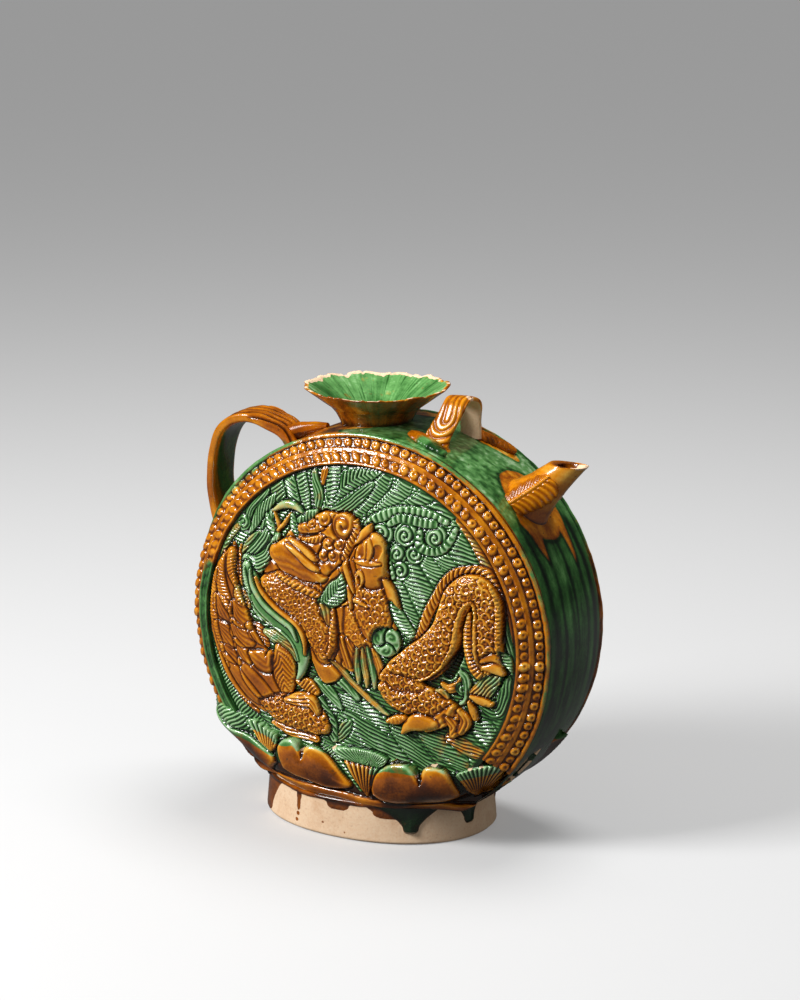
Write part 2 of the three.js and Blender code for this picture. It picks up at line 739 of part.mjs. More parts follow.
// Assembly
const ewer = new THREE.Group();
const shell = bodyShell();
ewer.add(
  piece("front_shell", halfShell(shell, -1), greenGlaze),
  piece("back_shell", halfShell(shell, 1), greenGlaze),
  piece("foot_ring", footRing(), bareClay),
  piece("mouth_cup", mouthCup(), amberGlaze),
  piece("handle_strap", handleStrap(0).subtract(disc(slipGap)), amberGlaze),
  piece("handle_tongue", handleTongue(), amberGlaze),
  piece("loop_strap", loopStrap(0).subtract(disc(slipGap)), amberGlaze),
  piece("loop_leaf_front", loopLeaf(-1, frontLoopLeafAngle), greenGlaze),
  piece("loop_leaf_back", loopLeaf(1, backLoopLeafAngle), amberGlaze),
  piece("spout_tube", spoutTube(), amberGlaze),
  piece("spout_leaf_front", spoutLeaf(-1), amberGlaze),
  piece("spout_leaf_back", spoutLeaf(1), amberGlaze),
);

export default ewer;
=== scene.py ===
import bpy
import numpy as np
from mathutils import Matrix


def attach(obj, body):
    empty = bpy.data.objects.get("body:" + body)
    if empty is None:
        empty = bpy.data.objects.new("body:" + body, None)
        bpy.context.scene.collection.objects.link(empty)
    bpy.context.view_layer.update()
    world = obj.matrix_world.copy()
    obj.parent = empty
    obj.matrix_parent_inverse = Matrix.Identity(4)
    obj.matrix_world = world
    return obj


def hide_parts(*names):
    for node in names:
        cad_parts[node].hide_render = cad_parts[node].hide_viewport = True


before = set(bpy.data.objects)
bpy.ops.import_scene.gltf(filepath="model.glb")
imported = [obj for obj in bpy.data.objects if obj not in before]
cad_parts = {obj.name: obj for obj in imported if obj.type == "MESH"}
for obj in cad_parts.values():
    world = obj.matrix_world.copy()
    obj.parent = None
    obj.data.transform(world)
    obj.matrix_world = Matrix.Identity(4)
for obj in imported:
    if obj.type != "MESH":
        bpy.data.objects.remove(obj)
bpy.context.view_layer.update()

# Camera
# The view is from the front right and a little above, far enough away that the oval foot and the
# round disc keep their photographed proportions.
MM = 0.001
AIM = np.array([0.0, 0.0, 100.0])
DISTANCE = 1300.0
AZIMUTH, ELEVATION = np.radians([28.22, 16.97])
FOCAL = 2607.44
AIM_PIXEL = (394.57, 622.34)
FRAME_WIDTH, FRAME_HEIGHT = 800, 1000
SENSOR = 36.0

towards = np.array([
    np.sin(AZIMUTH) * np.cos(ELEVATION), -np.cos(AZIMUTH) * np.cos(ELEVATION), np.sin(ELEVATION)
])
right = np.array([np.cos(AZIMUTH), np.sin(AZIMUTH), 0.0])
turn_x = np.arctan((AIM_PIXEL[0] - FRAME_WIDTH / 2) / FOCAL)
turn_y = np.arctan((AIM_PIXEL[1] - FRAME_HEIGHT / 2) / FOCAL)
ahead = -towards
ahead = np.cos(turn_y) * ahead + np.sin(turn_y) * np.cross(right, ahead)
upward = np.cross(right, ahead)
ahead, right = (
    np.cos(turn_x) * ahead - np.sin(turn_x) * right,
    np.cos(turn_x) * right + np.sin(turn_x) * ahead,
)
camera_data = bpy.data.cameras.new("camera")
camera_data.sensor_width = SENSOR
camera_data.lens = FOCAL / FRAME_HEIGHT * SENSOR
camera = bpy.data.objects.new("camera", camera_data)
place = np.eye(4)
place[:3, 0], place[:3, 1], place[:3, 2] = right, upward, -ahead
place[:3, 3] = (AIM + DISTANCE * towards) * MM
camera.matrix_world = Matrix(place.tolist())
bpy.context.collection.objects.link(camera)
bpy.context.scene.camera = camera
bpy.context.scene.view_settings.view_transform = "Standard"

# Light
# A large soft box on the left and above gives the sharp glints of the lead glaze, a narrow one on
# the right draws a line along the side band, one from above that the glaze doesn't mirror lights the
# tops, and an even pale sky fills the shade. In mirrored rays the sky is dark, as in a studio, so
# that the glaze keeps its deep colour between the glints.


def soft_box(name, place, aim, width, height, power, mirrored=True):
    """A rectangular lamp at a place in metres that faces a point and may show in the glaze."""
    lamp_data = bpy.data.lights.new(name, "AREA")
    lamp_data.shape = "RECTANGLE"
    lamp_data.size, lamp_data.size_y, lamp_data.energy = width, height, power
    lamp = bpy.data.objects.new(name, lamp_data)
    lamp.visible_glossy = mirrored
    back = np.array(place) - np.array(aim)
    back /= np.linalg.norm(back)
    side = np.cross([0, 0, 1], back)
    side /= np.linalg.norm(side)
    pose = np.eye(4)
    pose[:3, 0], pose[:3, 1], pose[:3, 2], pose[:3, 3] = side, np.cross(back, side), back, place
    lamp.matrix_world = Matrix(pose.tolist())
    bpy.context.collection.objects.link(lamp)


soft_box("key_box", (-0.75, -0.95, 1.0), (0, 0, 0.1), 0.5, 0.5, 24.0)
soft_box("side_box", (1.25, -0.1, 0.55), (0.05, 0, 0.1), 0.12, 0.9, 0.5)
soft_box("top_box", (0.1, 0.25, 1.2), (0, 0, 0.15), 0.6, 0.4, 7.0, mirrored=False)

SKY_STRENGTH = 0.25
MIRRORED_STRENGTH = 0.03
BACKDROP = 0.80
world = bpy.data.worlds.new("studio")
world.use_nodes = True
bpy.context.scene.world = world
nodes, links = world.node_tree.nodes, world.node_tree.links
nodes.clear()
paths, out = nodes.new("ShaderNodeLightPath"), nodes.new("ShaderNodeOutputWorld")


def sky_of(grey, strength):
    """One even sky."""
    node = nodes.new("ShaderNodeBackground")
    node.inputs["Color"].default_value = (grey, grey, grey, 1)
    node.inputs["Strength"].default_value = strength
    return node.outputs[0]


def sky_choice(ray, others, own):
    """The own sky for one kind of ray and the other one for the rest."""
    node = nodes.new("ShaderNodeMixShader")
    links.new(paths.outputs[ray], node.inputs[0])
    links.new(others, node.inputs[1])
    links.new(own, node.inputs[2])
    return node.outputs[0]


sky = sky_choice("Is Glossy Ray", sky_of(1.0, SKY_STRENGTH), sky_of(1.0, MIRRORED_STRENGTH))
for ray in ("Is Camera Ray", "Is Transmission Ray"):
    sky = sky_choice(ray, sky, sky_of(BACKDROP, 1.0))
links.new(sky, out.inputs[0])

# Floor
# A wide matt pale table that keeps the ewer's shadow. The ewer itself sees it darker than the
# camera does, like the grey paper of a studio.
FLOOR_HALF = 14.0
SEEN_FLOOR, FELT_FLOOR = 0.58, 0.09
FLOOR_GLOW = 0.18
floor_mesh = bpy.data.meshes.new("floor")
corners = [(x * FLOOR_HALF, y * FLOOR_HALF, 0) for x, y in ((-1, -1), (1, -1), (1, 1), (-1, 1))]
floor_mesh.from_pydata(corners, [], [(0, 1, 2, 3)])
floor = bpy.data.objects.new("floor", floor_mesh)
bpy.context.collection.objects.link(floor)
paint = bpy.data.materials.new("floor_paint")
paint.use_nodes = True
shader = paint.node_tree.nodes["Principled BSDF"]
shader.inputs["Roughness"].default_value = 0.9
shader.inputs["Emission Color"].default_value = (1, 1, 1, 1)
rays = paint.node_tree.nodes.new("ShaderNodeLightPath")
for label, low, high in (("Base Color", FELT_FLOOR, SEEN_FLOOR), ("Emission Strength", 0.0, FLOOR_GLOW)):
    level = paint.node_tree.nodes.new("ShaderNodeMapRange")
    level.inputs["To Min"].default_value, level.inputs["To Max"].default_value = low, high
    paint.node_tree.links.new(rays.outputs["Is Camera Ray"], level.inputs["Value"])
    paint.node_tree.links.new(level.outputs["Result"], shader.inputs[label])
floor.data.materials.append(paint)


# Glaze
# Lead glaze, copper green and iron amber, that ran together in the kiln. It pools dark in the
# hollows and thins to a pale film on the ridges, and it stops short of the foot.
RNG = np.random.default_rng(7)


def noise_node(tree, vector, scale, detail, rough=0.55):
    """A noise texture on the given coordinates."""
    node = tree.nodes.new("ShaderNodeTexNoise")
    node.inputs["Scale"].default_value = scale
    node.inputs["Detail"].default_value = detail
    node.inputs["Roughness"].default_value = rough
    tree.links.new(vector, node.inputs["Vector"])
    return node.outputs["Fac"]


def maths(tree, kind, first, second=0.0, third=0.0):
    """One arithmetic node; each value may be a socket or a number."""
    node = tree.nodes.new("ShaderNodeMath")
    node.operation = kind
    for socket, value in zip(node.inputs, (first, second, third)):
        if isinstance(value, (int, float)):
            socket.default_value = value
        else:
            tree.links.new(value, socket)
    return node.outputs[0]


def ramp(tree, value, stops):
    """A colour ramp through (place, colour) stops."""
    node = tree.nodes.new("ShaderNodeValToRGB")
    bands = node.color_ramp.elements
    while len(bands) < len(stops):
        bands.new(0.5)
    for band, (at, colour) in zip(bands, stops):
        band.position, band.color = at, (*colour, 1)
    tree.links.new(value, node.inputs[0])
    return node.outputs["Color"]


def blend(tree, share, first, second, kind="MIX"):
    """Mixes two colours by a share."""
    node = tree.nodes.new("ShaderNodeMix")
    node.data_type, node.blend_type = "RGBA", kind
    for socket, value in ((node.inputs[0], share), (node.inputs[6], first), (node.inputs[7], second)):
        if isinstance(value, (int, float)):
            socket.default_value = value
        elif isinstance(value, tuple):
            socket.default_value = (*value, 1)
        else:
            tree.links.new(value, socket)
    return node.outputs[2]


# The glaze's colours from a deep pool to a thin film; they also render the painted shade and painted light of
# that mask.
GREEN_STOPS = [
    (0.0, (0.003, 0.010, 0.003)), (0.24, (0.008, 0.040, 0.008)), (0.5, (0.045, 0.165, 0.034)),
    (0.75, (0.15, 0.38, 0.11)), (1.0, (0.46, 0.70, 0.38)),
]
AMBER_STOPS = [
    (0.0, (0.012, 0.003, 0.0002)), (0.24, (0.085, 0.017, 0.0002)), (0.5, (0.40, 0.100, 0.0006)),
    (0.75, (0.76, 0.265, 0.003)), (1.0, (1.0, 0.56, 0.08)),
]
CLAY = (0.92, 0.64, 0.41)
DARK_CLAY, PALE_CLAY, STAINED_CLAY = (0.70, 0.48, 0.32), (0.96, 0.73, 0.51), (0.88, 0.80, 0.74)
PIT_COLOUR = (0.05, 0.03, 0.012)
BLACK, WHITE = (0, 0, 0), (1, 1, 1)
COAT_INDEX = 1.7
SWELL_HEIGHT = 0.0006

# The group turns three painted masks into the glaze's colour, roughness and gloss. Amber runs from
# green to amber, the second mask from a deep pool to a thin film, and on some pieces it also holds
# painted shade and painted light; bare is clay without glaze. The fourth mask, which a piece may
# have, dulls its gloss.
glaze = bpy.data.node_groups.new("sancai_glaze", "ShaderNodeTree")
GIVEN = {"Place": "Vector", "Amber": "Float", "Film_and_shade": "Float", "Bare": "Float", "Streak": "Float"}
MADE = {"Colour": "Color", "Roughness": "Float", "Gloss": "Float", "Height": "Float"}
for way, sockets in (("INPUT", GIVEN), ("OUTPUT", MADE)):
    for label, kind in sockets.items():
        glaze.interface.new_socket(label, in_out=way, socket_type=f"NodeSocket{kind}")
given, result = glaze.nodes.new("NodeGroupInput"), glaze.nodes.new("NodeGroupOutput")
where = given.outputs["Place"]
run = glaze.nodes.new("ShaderNodeMapping")
run.inputs["Scale"].default_value = (1, 1, 0.12)
glaze.links.new(where, run.inputs["Vector"])
bleed = noise_node(glaze, where, 210, 3)
mottle = noise_node(glaze, where, 75, 4, 0.65)
streaks = noise_node(glaze, run.outputs[0], 170, 4, 0.6)
fine = noise_node(glaze, where, 900, 3)
pits = noise_node(glaze, where, 420, 1)


def stirred(value, noise, share):
    """A value with a share of a noise about its middle added."""
    return maths(glaze, "MULTIPLY_ADD", maths(glaze, "SUBTRACT", noise, 0.5), share, value)


amber_share = ramp(glaze, stirred(given.outputs["Amber"], bleed, 0.9), [(0.34, BLACK), (0.66, WHITE)])
# The depth of colour follows the second mask, its painted shade and painted light included.
depth = stirred(given.outputs["Film_and_shade"], mottle, 0.55)
depth = stirred(depth, streaks, given.outputs["Streak"])
depth = stirred(depth, fine, 0.22)
colour = blend(glaze, amber_share, ramp(glaze, depth, GREEN_STOPS), ramp(glaze, depth, AMBER_STOPS))
speck = ramp(glaze, pits, [(0.70, BLACK), (0.76, WHITE)])
colour = blend(glaze, maths(glaze, "MULTIPLY", speck, 0.55), colour, PIT_COLOUR)
grain = ramp(glaze, fine, [(0.2, DARK_CLAY), (0.4, CLAY), (0.8, PALE_CLAY)])
stain = ramp(glaze, mottle, [(0.3, STAINED_CLAY), (0.5, WHITE)])
grain = blend(glaze, 1.0, grain, stain, "MULTIPLY")
bare_share = ramp(glaze, stirred(given.outputs["Bare"], bleed, 0.7), [(0.44, BLACK), (0.56, WHITE)])
colour = blend(glaze, bare_share, colour, grain)
glaze.links.new(colour, result.inputs["Colour"])
rough = maths(glaze, "MULTIPLY_ADD", bare_share, 0.55, 0.3)
glaze.links.new(rough, result.inputs["Roughness"])
glaze.links.new(maths(glaze, "SUBTRACT", 1.0, bare_share), result.inputs["Gloss"])
ripple = noise_node(glaze, where, 480, 2)
swell = maths(glaze, "MULTIPLY_ADD", ripple, 0.6, maths(glaze, "MULTIPLY_ADD", fine, 0.2, mottle))
glaze.links.new(swell, result.inputs["Height"])


def glazed(name, streak=0.25, swell_depth=0.3, coat_rough=0.08):
    """A glazed material that reads a piece's painted masks, with its own strength of runs."""
    material = bpy.data.materials.new(name)
    material.use_nodes = True
    tree = material.node_tree
    shader = tree.nodes["Principled BSDF"]
    place = tree.nodes.new("ShaderNodeTexCoord")
    masks, split = tree.nodes.new("ShaderNodeAttribute"), tree.nodes.new("ShaderNodeSeparateColor")
    masks.attribute_name = "glaze_masks"
    tree.links.new(masks.outputs["Color"], split.inputs[0])
    group = tree.nodes.new("ShaderNodeGroup")
    group.node_tree = glaze
    group.inputs["Streak"].default_value = streak
    tree.links.new(place.outputs["Object"], group.inputs["Place"])
    for index, label in enumerate(("Amber", "Film_and_shade", "Bare")):
        tree.links.new(split.outputs[index], group.inputs[label])
    tree.links.new(group.outputs["Colour"], shader.inputs["Base Color"])
    tree.links.new(group.outputs["Roughness"], shader.inputs["Roughness"])
    gloss = maths(tree, "MULTIPLY", group.outputs["Gloss"], masks.outputs["Alpha"])
    tree.links.new(gloss, shader.inputs["Coat Weight"])
    shader.inputs["Specular IOR Level"].default_value = 0.15
    shader.inputs["Coat IOR"].default_value = COAT_INDEX
    shader.inputs["Coat Roughness"].default_value = coat_rough
    bump = tree.nodes.new("ShaderNodeBump")
    bump.inputs["Strength"].default_value = swell_depth
    bump.inputs["Distance"].default_value = SWELL_HEIGHT
    tree.links.new(group.outputs["Height"], bump.inputs["Height"])
    tree.links.new(bump.outputs["Normal"], shader.inputs["Normal"])
    tree.links.new(bump.outputs["Normal"], shader.inputs["Coat Normal"])
    return material


relief_glaze = glazed("relief_glaze", 0.10, 0.3, 0.13)


def grid_faces(rows, columns, closed=False):
    """Corner numbers of the squares of a grid, the last column joined to the first where closed."""
    number = np.arange(rows * columns).reshape(rows, columns)
    if closed:
        number = np.concatenate([number, number[:, :1]], axis=1)
    return np.stack([number[:-1, :-1], number[:-1, 1:], number[1:, 1:], number[1:, :-1]], -1).reshape(-1, 4)


def mask_grid(amber, film_and_shade, bare=0.0, gloss=None):
    """The masks of a grid of points side by side, with thinness and painted shade kept between 0 and 1."""
    layers = [amber, np.clip(film_and_shade, 0, 1), bare] + ([] if gloss is None else [gloss])
    return np.stack(np.broadcast_arrays(*layers), -1)


def make_piece(name, points, faces, masks, material, middle, slot, *stands_for, inward=False):
    """Builds one piece from points in millimetres, turned so that its faces look away from its middle.

    The masks are amber share, thinness of the glaze with its painted shade and painted light,
    bareness and, where given, gloss.
    """
    used, faces = np.unique(faces, return_inverse=True)
    faces = faces.reshape(-1, 4)
    points, masks = points[used] * MM, masks[used]
    a, b, c, d = (points[faces[:, i]] for i in range(4))
    normal = np.cross(c - a, d - b)
    out = np.einsum("ij,ij->i", normal, (a + b + c + d) / 4 - np.array(middle) * MM)
    if (out.sum() < 0) != inward:
        faces = faces[:, ::-1]
    mesh = bpy.data.meshes.new(name)
    mesh.vertices.add(len(points))
    mesh.vertices.foreach_set("co", points.astype(np.float32).ravel())
    mesh.loops.add(faces.size)
    mesh.loops.foreach_set("vertex_index", faces.astype(np.int32).ravel())
    mesh.polygons.add(len(faces))
    mesh.polygons.foreach_set("loop_start", np.arange(0, faces.size, 4, dtype=np.int32))
    mesh.polygons.foreach_set("use_smooth", np.ones(len(faces), dtype=bool))
    paint = mesh.attributes.new("glaze_masks", "FLOAT_COLOR", "POINT")
    rgba = np.concatenate([masks, np.ones((len(masks), 4 - masks.shape[1]))], axis=1)
    paint.data.foreach_set("color", rgba.astype(np.float32).ravel())
    mesh.update(calc_edges=True)
    mesh.validate()
    mesh.materials.append(material)
    piece = bpy.data.objects.new(name, mesh)
    bpy.context.collection.objects.link(piece)
    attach(piece, "root")
    if stands_for:
        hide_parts(*stands_for)
    return piece


def closed_piece(name, points, masks, *rest, **more):
    """Builds a piece from a grid of points and masks whose last column joins the first."""
    faces = grid_faces(*points.shape[:2], closed=True)
    return make_piece(name, points.reshape(-1, 3), faces, masks.reshape(-1, masks.shape[-1]), *rest, **more)


def half_turn(points):
    """The same points turned half round about the upright axis."""
    return points * np.array([-1.0, -1.0, 1.0])


def step(t):
    """A smooth rise from 0 at t = 0 to 1 at t = 1."""
    t = np.clip(t, 0, 1)
    return t * t * (3 - 2 * t)


def blur(field, cells):
    """Smooths an even grid with a bell curve of so many cells, by its Fourier transform."""
    margin = int(3 * cells) + 1
    wide = np.pad(field, margin, mode="edge")
    down, across = np.fft.fftfreq(wide.shape[0])[:, None], np.fft.rfftfreq(wide.shape[1])
    bell = np.exp(-2 * (np.pi * cells) ** 2 * (across**2 + down**2))
    wide = np.fft.irfft2(np.fft.rfft2(wide) * bell, wide.shape)
    return wide[margin:-margin, margin:-margin]


# Medallions
# The moulded face of each half: an amber dragon over green combed waves, pressed into a mould as
# one skin with the wall. The back half came from the same mould, so it shows the same picture.
CENTRE_HEIGHT = 103.2
DISC_CENTRE = (0, 0, CENTRE_HEIGHT)
FIELD_RADIUS = 84.8
FIELD_RIM_DEPTH = 37.3
FIELD_CROWN = 5.5
FIELD_LIMIT = 86.3
FIELD_BOTTOM = 32.0
GROUND_PITCH = 1.8
GROUND_DEPTH = 0.55
# The strokes were traced on a dome with this crown, and its height was found in so many rounds.
TRACED_CROWN = 8.0
TRACE_ROUNDS = 12
TRACE_CELL, TRACE_BLUR = 0.5, 3.0
RELIEF_LIMIT = 4.9
DEPTH_LIMIT = 47.9

def traced_place(column, row):
    """Where the ray of a photo pixel meets the smooth dome on which the relief was traced, right and up."""
    eye = AIM + DISTANCE * towards
    ray = ahead + (column - FRAME_WIDTH / 2) / FOCAL * right - (row - FRAME_HEIGHT / 2) / FOCAL * upward
    place = AIM
    for _ in range(TRACE_ROUNDS):
        out = min(1, (place[0] ** 2 + (place[2] - CENTRE_HEIGHT) ** 2) / FIELD_RADIUS**2)
        depth = FIELD_RIM_DEPTH + TRACED_CROWN * (1 - out)
        place = eye - ray * (depth + eye[1]) / ray[1]
    return round(float(place[0]), 1), round(float(place[2]), 1)


# The outline of the dragon's melted body as columns and rows of the photo.
BODY_PIXELS = [
    (283, 541), (292, 528), (300, 523), (312, 516), (330, 512), (350, 514), (357, 526), (356, 545),
        (358, 552), (366, 542), (376, 542), (386, 552), (388, 572), (391, 590), (396, 610), (398, 628),
        (386, 640), (370, 652), (352, 656), (345, 668), (338, 680), (328, 684), (320, 676), (313, 660),
        (304, 645), (288, 620), (270, 600), (263, 578), (270, 560),
]
BODY_OUTLINE = [(*traced_place(*pixel), 5) for pixel in BODY_PIXELS]

